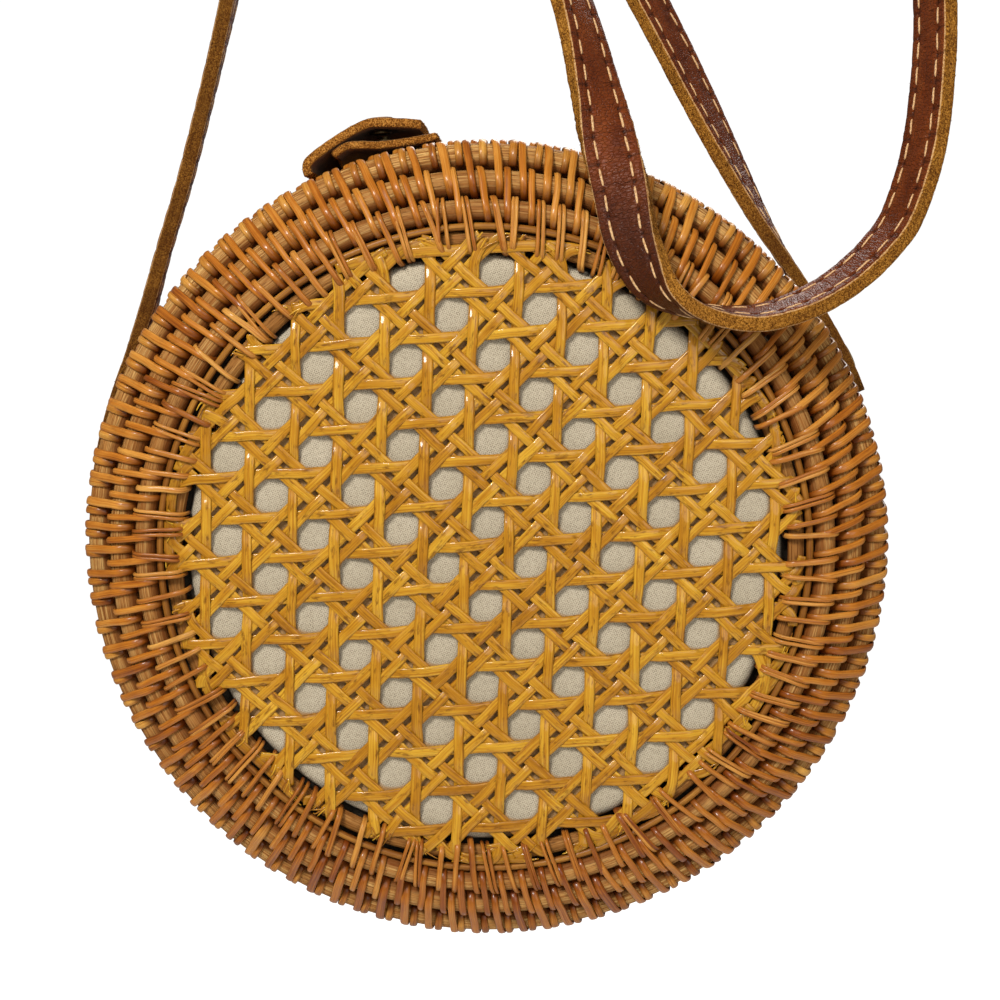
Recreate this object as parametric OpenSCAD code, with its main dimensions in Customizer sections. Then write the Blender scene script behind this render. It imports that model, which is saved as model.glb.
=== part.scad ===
// Round rattan crossbody bag, hanging by its strap.
// Z is up, the front face looks towards -Y, and the origin is the point
// where the strap lies over whatever carries it.

/* [Size] */
// height of the hanging point above the centre of the round bag (mm)
hang_h = 272; // [266:1:280]
// radius to the centre line of the side hoops (mm)
side_r = 96.2; // [96.0:0.1:96.4]
// rod radius of the thick hoops (mm)
rod_r = 3.3; // [3.1:0.1:3.3]

/* [Hoops] */
// distance between neighbouring side hoops (mm)
hoop_pitch = 7.7; // [7.6:0.05:7.75]
// distance from the parting plane to the first hoop's centre (mm)
seam_y = 4.6; // [4.5:0.1:4.7]
// rod radius of the inner sloping hoop (mm)
rod3_r = 2.6; // [2.4:0.1:2.7]
// rod radius of the thin hoop along the webbing (mm)
thin_r = 0.9; // [0.7:0.1:0.9]
// rod radius of the hoop under the webbing's edge (mm)
binder_r = 1.5; // [1.2:0.1:1.5]

/* [Lashing] */
// number of lashing bands round one half
band_n = 48; // [24:1:60]
// width of one lashing band (mm)
band_w = 1.8; // [1.2:0.1:2.4]
// thickness of one lashing band (mm)
band_t = 0.9; // [0.7:0.1:0.9]

/* [Webbing] */
// radius of the webbing panel (mm)
cane_r = 77; // [76:0.5:77]
// thickness of the webbing panel (mm)
cane_t = 1.5; // [1.0:0.1:1.5]
// radius of one webbing hole (mm)
cane_hole_r = 4.2; // [3.6:0.1:4.4]
// hole lattice step across (mm)
cane_sx = 10.6; // [10.2:0.1:11.0]
// hole lattice step down (mm)
cane_sz = 10.07; // [9.9:0.05:10.5]

/* [Lining] */
// thickness of the lining (mm)
lining_t = 1.0; // [0.6:0.1:1.0]

/* [Leather] */
// width of the strap (mm)
strap_w = 13; // [12:0.5:13]
// thickness of the strap (mm)
strap_t = 3.8; // [3.0:0.1:3.8]
// angle of the closure tab from the top of the bag (degrees)
tab_angle = -9.5; // [-12:0.5:0]
// thickness of the upper closure flap (mm)
flap_t = 2.4; // [2.0:0.1:2.4]
// thickness of the lower closure tab (mm)
tab_t = 2.0; // [1.6:0.1:2.0]
// angle of the strap rivets from the top of the bag (degrees)
rivet_angle = 70; // [68:0.5:72]
// half angle covered by the hinge strip at the bottom (degrees)
hinge_half = 9.5; // [6:0.5:12]

/* [Hidden] */
$fn = 48;
skin_r = side_r + rod_r + 0.08 + band_t;   // outermost lashing radius
// hoops of one half: [radius, distance in front of the parting plane, rod radius]
h6 = [side_r, seam_y, rod_r];
h5 = [side_r, seam_y + hoop_pitch, rod_r];
h4 = [side_r, seam_y + 2 * hoop_pitch, rod_r];
h1 = [side_r - 0.6, seam_y + 3 * hoop_pitch, rod_r];
h2 = [side_r - 7.0, seam_y + 3 * hoop_pitch + 4.8, rod_r - 0.1];
h3 = [side_r - 13.4, seam_y + 3 * hoop_pitch + 8.2, rod3_r];
ht = [side_r - 17.3, seam_y + 3 * hoop_pitch + 10.0, thin_r];
hb = [side_r - 20.6, seam_y + 3 * hoop_pitch + 8.3, binder_r];
cane_y0 = seam_y + 3 * hoop_pitch + 9.9 + binder_r - 1.5; // back face of the webbing
end_t = strap_t * 0.63;                    // strap thickness where its ends are thinned
strap_mid_r = skin_r + 1.55 + end_t / 2;   // strap centre beside the rim
lug_in = skin_r + 0.15;
lug_out = skin_r + 1.05;

col_rod = [0.73, 0.53, 0.32];
col_lash = [0.72, 0.42, 0.17];
col_cane = [0.84, 0.63, 0.22];
col_lining = [0.80, 0.78, 0.73];
col_leather = [0.43, 0.18, 0.10];
col_suede = [0.45, 0.30, 0.13];
col_metal = [0.62, 0.52, 0.32];

// moves from the bag's own centre to the hanging frame
module bag() { translate([0, 0, -hang_h]) children(); }

// turns a profile drawn as (radius, y) round the bag's Y axis;
// start is counted clockwise from +X, seen from the front
module round_y(angle = 360, start = 0) {
    rotate([0, start, 0]) rotate([-90, 0, 0])
        rotate_extrude(angle = angle, $fn = 96) children();
}

// one hoop; s is -1 for the front half and 1 for the back half
module hoop(h, s) {
    bag() round_y() translate([h[0], s * h[1]]) circle(r = h[2], $fn = 24);
}

// ---- lashing ----
function arc(h, s, off, a0, a1, n) =
    [for (i = [0 : n]) let (a = a0 + (a1 - a0) * i / n)
        [h[0] + (h[2] + off) * cos(a), s * (h[1] - (h[2] + off) * sin(a))]];
function lash_path(s, off, ca) = concat(
    arc(h6, s, off, 150, 0, 10),
    arc(h4, s, off, 0, -4, 1),
    arc(h1, s, off, -6, -53, 4),
    arc(h2, s, off, -55, -62, 1),
    arc(h3, s, off, -66, -88, 2),
    [[ht[0] - 0.2, s * (ht[1] + ht[2] + off)],
     [cane_r + 0.4, s * (cane_y0 + cane_t + ca)],
     [cane_r - 2.6, s * (cane_y0 + cane_t + ca)]]);
function rev(p) = [for (i = [len(p) - 1 : -1 : 0]) p[i]];

module lashing(s) {
    bag() for (k = [0 : band_n - 1])
        rotate([0, k * 360 / band_n, 0]) translate([0, 0, -band_w / 2])
            linear_extrude(height = band_w)
                polygon(concat(lash_path(s, 0.08, 0.08),
                               rev(lash_path(s, 0.08 + band_t, 0.08 + band_t))));
}

// ---- cane webbing panel ----
module cane_panel(s) {
    bag() translate([0, s * (cane_y0 + cane_t / 2), 0]) rotate([90, 0, 0])
        translate([0, 0, -cane_t / 2]) linear_extrude(height = cane_t)
            difference() {
                circle(r = cane_r, $fn = 96);
                for (i = [-10 : 10], j = [-10 : 10])
                    if ((i + j) % 2 == 0) let (
                        x = 2.0 + i * cane_sx - j * 1.483,
                        z = 7.7 - i * 0.458 - j * cane_sz)
                        if (norm([x, z]) < cane_r - 3 - cane_hole_r)
                            translate([-s * x, z]) circle(r = cane_hole_r, $fn = 16);
            }
}

// ---- linen lining cup ----
module lining(s) {
    t = lining_t;
    yb = cane_y0 - 4.1;
    // the face stands forward close behind the webbing and drops back at its edge
    p = [[0, yb + 2.9], [69.6, yb + 2.9], [71.8, yb + 2.2], [72.9, yb - 0.6], [76.0, yb - 2.2], [84.0, yb - 2.9], [90.5, yb - 8.7],
         [92.2, yb - 14.2], [92.2, 0.7]];
    q = [[92.2 - t, 0.7], [92.2 - t, yb - 14.2 - 0.1], [90.5 - t * 0.9, yb - 8.7 - t * 0.55],
         [84.0 - t * 0.3, yb - 2.9 - t],
         [76.0 - t * 0.3, yb - 2.2 - t], [72.9 - t * 0.9, yb - 0.6 - t * 0.7], [71.8 - t * 0.8, yb + 2.2 - t * 0.7],
         [69.6 - t * 0.2, yb + 2.9 - t], [0, yb + 2.9 - t]];
    bag() round_y() polygon([for (v = concat(p, q)) [v[0], s * v[1]]]);
}

// ---- strap ----
// route points in the bag's own frame: position, then the strap's width direction
ra = rivet_angle;
function on_rim(a, sx, y) = [sx * strap_mid_r * sin(a), y, strap_mid_r * cos(a)];
rail_z = hang_h - 6;
sr = 6 + strap_t / 2;
route = [
    [on_rim(75, -1, 0), [0, 1, 0]],
    [on_rim(69, -1, 0), [0, 1, 0]],
    [on_rim(62, -1, 0) + [-0.1, 0, 0.1], [0, 1, 0]],
    [[-86.6, 0, 57.1], [-0.04, 1, 0]],
    [[-82.2, 0, 66.7], [-0.12, 0.99, 0]],
    [[-75.4, 0, 82.7], [-0.18, 0.98, 0]],
    [[-65.4, 0.5, 105.0], [-0.17, 0.985, 0]],
    [[-50.6, 1.5, 143.0], [-0.12, 0.99, 0]],
    [[-34.0, 3.5, 190.0], [0.25, 0.97, 0]],
    [[-17.5, 6.3, 236.0], [0.85, 0.5, 0]],
    [[-9.0, sr, rail_z], [1, 0.05, 0]],
    [[-8.3, sr * 0.71, rail_z + sr * 0.71], [1, 0, 0]],
    [[-7.8, 0, rail_z + sr], [1, 0, 0]],
    [[-7.5, -sr * 0.71, rail_z + sr * 0.71], [1, 0, 0]],
    [[-7.0, -sr, rail_z], [1, 0, 0]],
    [[1.5, -12.0, 232.0], [0.86, 0.5, 0]],
    [[16.0, -19.5, 188.0], [0.66, 0.75, 0]],
    [[28.5, -27.5, 150.0], [0.59, 0.81, 0]],
    [[35.4, -34.0, 127.8], [0.59, 0.81, 0]],
    [[38.6, -40.0, 106.0], [0.82, 0.57, 0]],
    [[40.1, -43.5, 93.8], [0.99, 0.14, 0]],
    [[41.7, -45.5, 82.6], [0.97, -0.25, 0]],
    [[42.9, -47.0, 71.8], [0.88, -0.47, 0]],
    [[46.6, -48.3, 61.5], [0.68, -0.73, -0.05]],
    [[52.4, -49.0, 55.5], [0.45, -0.89, -0.1]],
    [[60.5, -49.2, 51.8], [0.2, -0.97, -0.15]],
    [[69.3, -49.2, 50.2], [0.05, -0.98, -0.2]],
    [[76.8, -49.2, 51.1], [0.05, -0.97, -0.25]],
    [[84.3, -49.2, 53.4], [0.1, -0.95, -0.28]],
    [[92.0, -49.0, 57.4], [0.18, -0.94, -0.28]],
    [[99.1, -48.5, 62.9], [0.28, -0.93, -0.22]],
    [[105.0, -47.5, 69.6], [0.35, -0.92, -0.15]],
    [[111.3, -46.0, 83.9], [0.4, -0.91, -0.05]],
    [[115.6, -43.0, 101.3], [0.38, -0.92, 0]],
    [[118.0, -40.0, 117.2], [0.36, -0.93, 0]],
    [[119.2, -36.5, 138.0], [0.4, -0.91, 0]],
    [[115.5, -32.0, 168.0], [0.48, -0.87, 0]],
    [[101.0, -27.0, 205.0], [0.6, -0.8, 0]],
    [[74.0, -21.0, 240.0], [0.76, -0.65, 0]],
    [[42.0, -15.0, 263.0], [0.86, -0.5, 0.1]],
    [[20.0, -9.0, 274.0], [0.93, -0.3, -0.15]],
    [[9.5, 0, rail_z + sr], [1, 0, 0]],
    [[8.0, sr * 0.71, rail_z + sr * 0.71], [1, 0.05, 0]],
    [[8.0, sr, rail_z], [1, 0.1, 0]],
    [[14.5, 6.8, 238.0], [0.93, 0.35, 0]],
    [[32.5, 5.5, 188.0], [0.8, 0.6, 0]],
    [[56.5, 4.0, 130.5], [0.68, 0.73, 0]],
    [[66.2, 3.5, 105.9], [0.6, 0.8, 0]],
    [[73.0, 3.0, 88.3], [0.46, 0.89, 0]],
    [[79.4, 1.5, 72.3], [0.26, 0.965, 0]],
    [[86.6, 0.4, 57.4], [0.06, 1, 0]],
    [on_rim(62, 1, 0) + [0.1, 0, 0.1], [0, 1, 0]],
    [on_rim(69, 1, 0), [0, 1, 0]],
    [on_rim(75, 1, 0), [0, 1, 0]]];
nk = len(route);
function kp(i) = route[max(0, min(nk - 1, i))][0];
function kw(i) = route[max(0, min(nk - 1, i))][1];
function cr(a, b, c, d, t) = 0.5 * (2 * b + (c - a) * t + (2 * a - 5 * b + 4 * c - d) * t * t
    + (3 * b - a - 3 * c + d) * t * t * t);
steps = 2;
rings = (nk - 1) * steps;
function rp(k) = let (i = min(floor(k / steps), nk - 2), t = k / steps - i)
    cr(kp(i - 1), kp(i), kp(i + 1), kp(i + 2), t);
function rw(k) = let (i = min(floor(k / steps), nk - 2), t = k / steps - i)
    kw(i) * (1 - t) + kw(i + 1) * t;
function unit(v) = v / norm(v);
// strap thickness along the route, thinned towards both riveted ends
function thin_at(k) = let (e = min(k, rings - k) / steps, c = max(0, min(1, (e - 1.8) / 2.2)))
    end_t + (strap_t - end_t) * c * c * (3 - 2 * c);
function tan_at(k) = unit(rp(min(k + 1, rings)) - rp(max(k - 1, 0)));
function wid_at(k) = let (t = tan_at(k), w = rw(k)) unit(w - t * (t * w));
// cross-section corners, slightly chamfered
function sec(w, t) = let (c = 0.7) [
    [w / 2, t / 2 - c], [w / 2 - c, t / 2], [c - w / 2, t / 2], [-w / 2, t / 2 - c],
    [-w / 2, c - t / 2], [c - w / 2, -t / 2], [w / 2 - c, -t / 2], [w / 2, c - t / 2]];
module strap_band() {
    m = 8;
    pts = [for (k = [0 : rings]) let (p = rp(k), t = tan_at(k), w = wid_at(k), n = cross(t, w))
        for (q = sec(strap_w, thin_at(k))) p + w * q[0] + n * q[1]];
    side = [for (k = [0 : rings - 1], j = [0 : m - 1])
        let (a = k * m + j, b = k * m + (j + 1) % m) each
        [[a, b + m, b], [a, a + m, b + m]]];
    cap0 = [for (j = [1 : m - 2]) [0, j, j + 1]];
    cap1 = [for (j = [1 : m - 2]) [rings * m, rings * m + j + 1, rings * m + j]];
    polyhedron(points = pts, faces = concat(side, cap0, cap1), convexity = 10);
}
// a cylinder along the rivet's own axis, from radius r0 to radius r1
module rivet_rod(sx, r, r0, r1) {
    rotate([0, sx * rivet_angle, 0]) translate([0, 0, r0]) cylinder(r = r, h = r1 - r0, $fn = 32);
}
module strap() {
    color(col_leather) bag() difference() {
        strap_band();
        rivet_rod(-1, 1.55, 90, 112);
        rivet_rod(1, 1.55, 90, 112);
    }
}
module rivet(sx) {
    ro = strap_mid_r + end_t / 2;
    color(col_metal) bag() {
        rivet_rod(sx, 1.5, lug_in + 0.1, ro + 0.5);
        rivet_rod(sx, 3.8, ro + 0.1, ro + 0.8);
    }
}
module rivet_left() { rivet(-1); }
module rivet_right() { rivet(1); }

// ---- leather lugs on the rim's sides ----
module lug(sx) {
    color(col_leather) bag() difference() {
        round_y(14, sx * rivet_angle - 97)
            polygon([[lug_in, -9], [lug_out, -9], [lug_out, 5.5], [lug_in, 5.5]]);
        rivet_rod(sx, 2.3, 90, 112);
    }
}
module lug_left() { lug(-1); }
module lug_right() { lug(1); }

// ---- closure ----
// leather sheet: middle line p at its free end runs into circle arc q at its sewn end
function mid(p, q, u) = [for (i = [0 : len(p) - 1]) p[i] * (1 - u) + q[i] * u];
function nrm(m, i) = let (a = m[max(i - 1, 0)], b = m[min(i + 1, len(m) - 1)], d = unit(b - a)) [-d[1], d[0]];
function smooth(x) = let (c = max(0, min(1, x))) c * c * (3 - 2 * c);
module sheet(p, q, th, ya, yb, y0, y1) {
    n = len(p);
    rows = 12;
    pts = [for (j = [0 : rows]) let (y = y0 + (y1 - y0) * j / rows,
                m = mid(p, q, smooth((y - ya) / (yb - ya))))
        each concat(
            [for (i = [0 : n - 1]) let (v = m[i] + nrm(m, i) * th / 2) [v[0], y, v[1]]],
            [for (i = [n - 1 : -1 : 0]) let (v = m[i] - nrm(m, i) * th / 2) [v[0], y, v[1]]])];
    c = 2 * n;
    side = [for (j = [0 : rows - 1], i = [0 : c - 1])
        let (a = j * c + i, b = j * c + (i + 1) % c) each [[a, a + c, b + c], [a, b + c, b]]];
    cap0 = [for (i = [0 : n - 2]) each [[i, i + 1, c - 2 - i], [i, c - 2 - i, c - 1 - i]]];
    o = rows * c;
    cap1 = [for (i = [0 : n - 2]) each [[o + i, o + c - 2 - i, o + i + 1], [o + i, o + c - 1 - i, o + c - 2 - i]]];
    polyhedron(points = pts, faces = concat(side, cap0, cap1), convexity = 6);
}
function ring_pts(r, angs) = [for (a = angs) [r * sin(a), r * cos(a)]];
tab_up = [[-9.5, 103.5], [-6.0, 104.6], [-2.2, 103.9], [1.2, 102.8], [4.4, 102.2], [9.0, 101.5], [16.0, 100.8]];
tab_dn = ring_pts(skin_r + 0.15 + tab_t / 2, [-5.4, -3.4, -1.3, 0.7, 2.5, 5.2, 9.1]);
flap_up = [[-17.0, 100.6], [-17.0, 102.2], [-15.8, 103.8], [-11.4, 105.6], [-5.0, 107.5], [0, 108.4],
           [3.5, 107.9], [9.0, 106.2], [11.2, 105.4], [13.1, 104.6]];
flap_dn = ring_pts(skin_r + 0.5 + flap_t / 2, [-11.0, -10.2, -9.2, -6.4, -2.8, 0, 2.0, 5.1, 6.9, 7.6]);
module closure_frame() { bag() rotate([0, tab_angle, 0]) children(); }
module front_closure_tab() {
    color(col_suede) closure_frame() sheet(tab_up, tab_dn, tab_t, -8, -2, -17.5, -1.2);
}
module closure_flap() {
    color(col_suede) closure_frame() sheet(flap_up, flap_dn, flap_t, 3, 15, -17.5, 17.0);
}
module flap_anchor() {
    color(col_suede) bag() round_y(20, tab_angle - 100)
        polygon([[skin_r + 0.1, 17.7], [skin_r + 1.9, 17.7], [skin_r + 1.9, 25], [skin_r + 0.1, 25]]);
}
snap_y = -11;
// the snap's parts share one axis, square to the leather at that place
module snap_axis(t, r) { closure_frame() translate([t, snap_y, r]) rotate([0, 11, 0]) children(); }
module snap_stud() {
    color(col_metal) snap_axis(3.22, 103.62) {
        cylinder(r = 2.6, h = 0.45, $fn = 32);
        cylinder(r = 1.3, h = 1.2, $fn = 32);
    }
}
module snap_socket() {
    color(col_metal) snap_axis(2.55, 105.62) difference() {
        cylinder(r = 2.7, h = 0.8, $fn = 32);
        translate([0, 0, -1]) cylinder(r = 1.6, h = 1.6, $fn = 32);
    }
}
module snap_cap() {
    color(col_metal) snap_axis(3.25, 109.32)
        cylinder(r = 3.4, h = 0.4, $fn = 32);
}

// ---- hinge strip at the bottom ----
module hinge_leaf(s) {
    color(col_leather) bag() round_y(2 * hinge_half, 90 - hinge_half)
        polygon([[skin_r + 0.15, s * 0.3], [skin_r + 1.75, s * 0.3],
                 [skin_r + 1.75, s * 14], [skin_r + 0.15, s * 14]]);
}
module front_hinge_leaf() { hinge_leaf(-1); }
module back_hinge_leaf() { hinge_leaf(1); }

module front_hoop_1() { color(col_rod) hoop(h1, -1); }
module front_hoop_2() { color(col_rod) hoop(h2, -1); }
module front_hoop_3() { color(col_rod) hoop(h3, -1); }
module front_hoop_4() { color(col_rod) hoop(h4, -1); }
module front_hoop_5() { color(col_rod) hoop(h5, -1); }
module front_hoop_6() { color(col_rod) hoop(h6, -1); }
module front_thin_hoop() { color(col_cane) hoop(ht, -1); }
module front_binder_hoop() { color(col_rod) hoop(hb, -1); }
module front_lashing() { color(col_lash) lashing(-1); }
module front_cane_panel() { color(col_cane) cane_panel(-1); }
module front_lining() { color(col_lining) lining(-1); }
module back_hoop_1() { color(col_rod) hoop(h1, 1); }
module back_hoop_2() { color(col_rod) hoop(h2, 1); }
module back_hoop_3() { color(col_rod) hoop(h3, 1); }
module back_hoop_4() { color(col_rod) hoop(h4, 1); }
module back_hoop_5() { color(col_rod) hoop(h5, 1); }
module back_hoop_6() { color(col_rod) hoop(h6, 1); }
module back_thin_hoop() { color(col_cane) hoop(ht, 1); }
module back_binder_hoop() { color(col_rod) hoop(hb, 1); }
module back_lashing() { color(col_lash) lashing(1); }
module back_cane_panel() { color(col_cane) cane_panel(1); }
module back_lining() { color(col_lining) lining(1); }

strap();
rivet_left();
rivet_right();
front_hoop_1();
front_hoop_2();
front_hoop_3();
front_hoop_4();
front_hoop_5();
front_hoop_6();
front_thin_hoop();
front_binder_hoop();
front_lashing();
front_cane_panel();
front_lining();
lug_left();
lug_right();
front_closure_tab();
snap_stud();
front_hinge_leaf();
back_hoop_1();
back_hoop_2();
back_hoop_3();
back_hoop_4();
back_hoop_5();
back_hoop_6();
back_thin_hoop();
back_binder_hoop();
back_lashing();
back_cane_panel();
back_lining();
back_hinge_leaf();
flap_anchor();
closure_flap();
snap_socket();
snap_cap();
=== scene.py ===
import math

import bpy
import numpy as np
from mathutils import Matrix, Vector


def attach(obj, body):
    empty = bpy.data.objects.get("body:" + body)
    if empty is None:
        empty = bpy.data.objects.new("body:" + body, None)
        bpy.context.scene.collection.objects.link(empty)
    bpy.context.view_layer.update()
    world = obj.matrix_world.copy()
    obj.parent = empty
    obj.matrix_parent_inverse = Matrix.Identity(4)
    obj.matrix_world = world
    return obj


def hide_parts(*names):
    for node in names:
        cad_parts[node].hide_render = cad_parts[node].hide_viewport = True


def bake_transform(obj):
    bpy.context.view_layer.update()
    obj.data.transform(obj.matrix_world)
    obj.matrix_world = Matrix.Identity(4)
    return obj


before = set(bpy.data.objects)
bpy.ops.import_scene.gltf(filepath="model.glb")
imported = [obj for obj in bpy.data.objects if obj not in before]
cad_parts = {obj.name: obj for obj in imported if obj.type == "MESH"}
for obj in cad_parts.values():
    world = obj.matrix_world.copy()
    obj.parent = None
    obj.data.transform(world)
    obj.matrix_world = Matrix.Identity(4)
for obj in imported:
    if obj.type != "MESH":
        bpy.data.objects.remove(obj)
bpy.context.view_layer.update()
scene = bpy.context.scene

HANG = 272.0  # mm from the bag's centre up to the hanging point


def row(p):
    return (np.asarray(p, float) + np.array([0.0, 0.0, -HANG])) / 1000.0


# ---------------------------------------------------------------- camera
cam_data = bpy.data.cameras.new("camera")
cam_data.sensor_fit = "HORIZONTAL"
cam_data.sensor_width = 36.0
cam_data.lens = 61.33
cam_data.clip_start = 0.01
cam = bpy.data.objects.new("camera", cam_data)
scene.collection.objects.link(cam)
cx, cy, cz = row((20.45, -445.81, 67.05))
cam.matrix_world = Matrix(
    (
        (0.9934, 0.1083, 0.0364, cx),
        (0.0216, 0.1345, -0.9907, cy),
        (-0.1122, 0.9850, 0.1312, cz),
        (0.0, 0.0, 0.0, 1.0),
    )
)
scene.camera = cam


# ---------------------------------------------------------------- mesh helpers
def unit(v):
    return v / np.maximum(np.linalg.norm(v, axis=-1, keepdims=True), 1e-12)


def part(v, faces, tone=0.5, dark=0.0):
    n = len(v)
    return {
        "v": np.asarray(v, float),
        "faces": faces,
        "tone": np.broadcast_to(np.asarray(tone, float), (n,)),
        "dark": np.broadcast_to(np.asarray(dark, float), (n,)),
    }


def volume(v, faces):
    total = 0.0
    c = v.mean(0)
    for f, _, _ in faces:
        a = v[f[:, 0]] - c
        for k in range(1, f.shape[1] - 1):
            b, d = v[f[:, k]] - c, v[f[:, k + 1]] - c
            total += float(np.einsum("ij,ij->", a, np.cross(b, d)))
    return total / 6.0


def outward(v, faces):
    """Turns a closed part's faces outwards."""
    if volume(v, faces) < 0:
        faces = [(f[:, ::-1].copy(), uv[:, ::-1].copy(), m) for f, uv, m in faces]
    return faces


def tubes(P, A, B, prof, closed=False, caps=True, tone=0.5, dark=0.0, mat=0, cap_mat=None, u_start=0.0):
    """Strands swept along P with the section prof in the A, B plane.
    P, A, B are (N, K, 3) or (K, 3); prof is (m, 2), (K, m, 2) or (N, K, m, 2).
    mat is one number or one per section side; UVs are in mm, along and around."""
    P, A, B = (np.asarray(x, float) for x in (P, A, B))
    if P.ndim == 2:
        P, A, B = P[None], A[None], B[None]
    N, K, _ = P.shape
    prof = np.asarray(prof, float)
    prof = np.broadcast_to(prof, (N, K) + prof.shape[-2:])
    m = prof.shape[2]
    V = P[:, :, None, :] + A[:, :, None, :] * prof[..., 0:1] + B[:, :, None, :] * prof[..., 1:2]
    idx = np.arange(N * K * m).reshape(N, K, m)
    seg = np.linalg.norm(np.diff(P, axis=1), axis=2)
    U = np.concatenate([np.zeros((N, 1)), np.cumsum(seg, axis=1)], 1)
    if closed:
        last = np.linalg.norm(P[:, 0] - P[:, -1], axis=1)[:, None]
        U = np.concatenate([U, U[:, -1:] + last], 1)
        cur, nxt = idx, np.roll(idx, -1, axis=1)
    else:
        cur, nxt = idx[:, :-1], idx[:, 1:]
    U = U + u_start
    U0, U1 = U[:, :-1], U[:, 1:]
    ring = prof[0, K // 2]
    W = np.concatenate([[0.0], np.cumsum(np.linalg.norm(np.roll(ring, -1, 0) - ring, axis=1))])
    F = np.stack([cur, np.roll(cur, -1, 2), np.roll(nxt, -1, 2), nxt], -1).reshape(-1, 4)
    kk = cur.shape[1]
    u = np.stack([U0, U0, U1, U1], -1)[:, :, None, :]
    w = np.stack([W[:-1], W[1:], W[1:], W[:-1]], -1)[None, None]
    UV = np.stack(np.broadcast_arrays(u, w), -1).reshape(-1, 4, 2)
    mi = np.broadcast_to(np.asarray(mat), (N, kk, m)).reshape(-1)
    V = V.reshape(-1, 3)
    faces = [(F, UV, mi)]
    tone = np.broadcast_to(np.asarray(tone, float).reshape(-1, 1, 1) if np.ndim(tone) == 1 else tone, (N, K, m)).reshape(-1)
    dark = np.broadcast_to(dark, (N, K, m)).reshape(-1)
    if caps and not closed:
        c0 = V.reshape(N, K, m, 3)[:, 0].mean(1)
        c1 = V.reshape(N, K, m, 3)[:, -1].mean(1)
        base = len(V)
        V = np.concatenate([V, c0, c1])
        i0 = base + np.arange(N)[:, None]
        i1 = base + N + np.arange(N)[:, None]
        r0, r1 = idx[:, 0], idx[:, -1]
        t0 = np.stack([np.broadcast_to(i0, r0.shape), np.roll(r0, -1, 1), r0], -1).reshape(-1, 3)
        t1 = np.stack([np.broadcast_to(i1, r1.shape), r1, np.roll(r1, -1, 1)], -1).reshape(-1, 3)
        T = np.concatenate([t0, t1])
        flat = np.zeros((len(T), 3, 2))
        p2 = np.concatenate([prof[:, 0], prof[:, -1]]).reshape(2 * N, m, 2)
        flat[:, 1] = np.roll(p2, -1, 1).reshape(-1, 2)
        flat[:, 2] = p2.reshape(-1, 2)
        faces.append((T, flat, np.full(len(T), (np.min(mat) if cap_mat is None else cap_mat))))
        t_end = tone.reshape(N, K, m)
        d_end = dark.reshape(N, K, m)
        tone = np.concatenate([tone, t_end[:, 0, 0], t_end[:, -1, 0]])
        dark = np.concatenate([dark, d_end[:, 0, 0], d_end[:, -1, 0]])
    return part(V, outward(V, faces), tone, dark)


def build(name, parts, mats, body=None, replaces=(), smooth=True):
    """One mesh object from parts, in the hanging frame."""
    vs, tones, darks, loops, sizes, uvs, mi = [], [], [], [], [], [], []
    off = 0
    for p in parts:
        for f, uv, m in p["faces"]:
            loops.append((f + off).ravel())
            sizes.append(np.full(len(f), f.shape[1]))
            uvs.append(uv.reshape(-1, 2))
            mi.append(np.broadcast_to(m, (len(f),)))
        vs.append(p["v"])
        tones.append(p["tone"])
        darks.append(p["dark"])
        off += len(p["v"])
    v = np.concatenate(vs)
    L, S = np.concatenate(loops), np.concatenate(sizes)
    me = bpy.data.meshes.new(name)
    me.vertices.add(len(v))
    me.vertices.foreach_set("co", row(v).astype(np.float32).ravel())
    me.loops.add(len(L))
    me.loops.foreach_set("vertex_index", L.astype(np.int32))
    me.polygons.add(len(S))
    me.polygons.foreach_set("loop_start", np.concatenate([[0], np.cumsum(S)[:-1]]).astype(np.int32))
    me.polygons.foreach_set("material_index", np.concatenate(mi).astype(np.int32))
    me.polygons.foreach_set("use_smooth", np.full(len(S), smooth))
    layer = me.uv_layers.new(name="UVMap")
    layer.data.foreach_set("uv", np.concatenate(uvs).astype(np.float32).ravel())
    me.update(calc_edges=True)
    for key, data in (("tone", tones), ("dark", darks)):
        at = me.attributes.new(key, "FLOAT", "POINT")
        at.data.foreach_set("value", np.concatenate(data).astype(np.float32))
    for m in mats:
        me.materials.append(m)
    ob = bpy.data.objects.new(name, me)
    scene.collection.objects.link(ob)
    if body:
        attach(ob, body)
    if replaces:
        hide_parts(*replaces)
    return ob


def waves(rng, n, x, scale, terms=4):
    """n smooth random curves over x (mm), unit size, with the given wavelength."""
    out = np.zeros((n, len(x)))
    for k in range(terms):
        f = (0.6 + 0.9 * rng.random((n, 1))) * (k + 1) / scale
        out += np.sin(2 * np.pi * (f * x[None] + rng.random((n, 1)))) / (k + 1)
    return out / 1.4


def catmull(pts, n):
    """n points on a smooth curve through pts, evenly spaced in its own parameter."""
    pts = np.asarray(pts, float)
    k = len(pts) - 1
    u = np.linspace(0, k, n)
    i = np.minimum(u.astype(int), k - 1)
    t = (u - i)[:, None]
    g = lambda j: pts[np.clip(j, 0, k)]
    a, b, c, d = g(i - 1), g(i), g(i + 1), g(i + 2)
    return 0.5 * (2 * b + (c - a) * t + (2 * a - 5 * b + 4 * c - d) * t**2 + (3 * b - a - 3 * c + d) * t**3)


def even(pts, n):
    """n points evenly spaced along a polyline."""
    pts = np.asarray(pts, float)
    s = np.concatenate([[0], np.cumsum(np.linalg.norm(np.diff(pts, axis=0), axis=1))])
    x = np.linspace(0, s[-1], n)
    return np.stack([np.interp(x, s, pts[:, k]) for k in range(pts.shape[1])], -1), x


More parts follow.
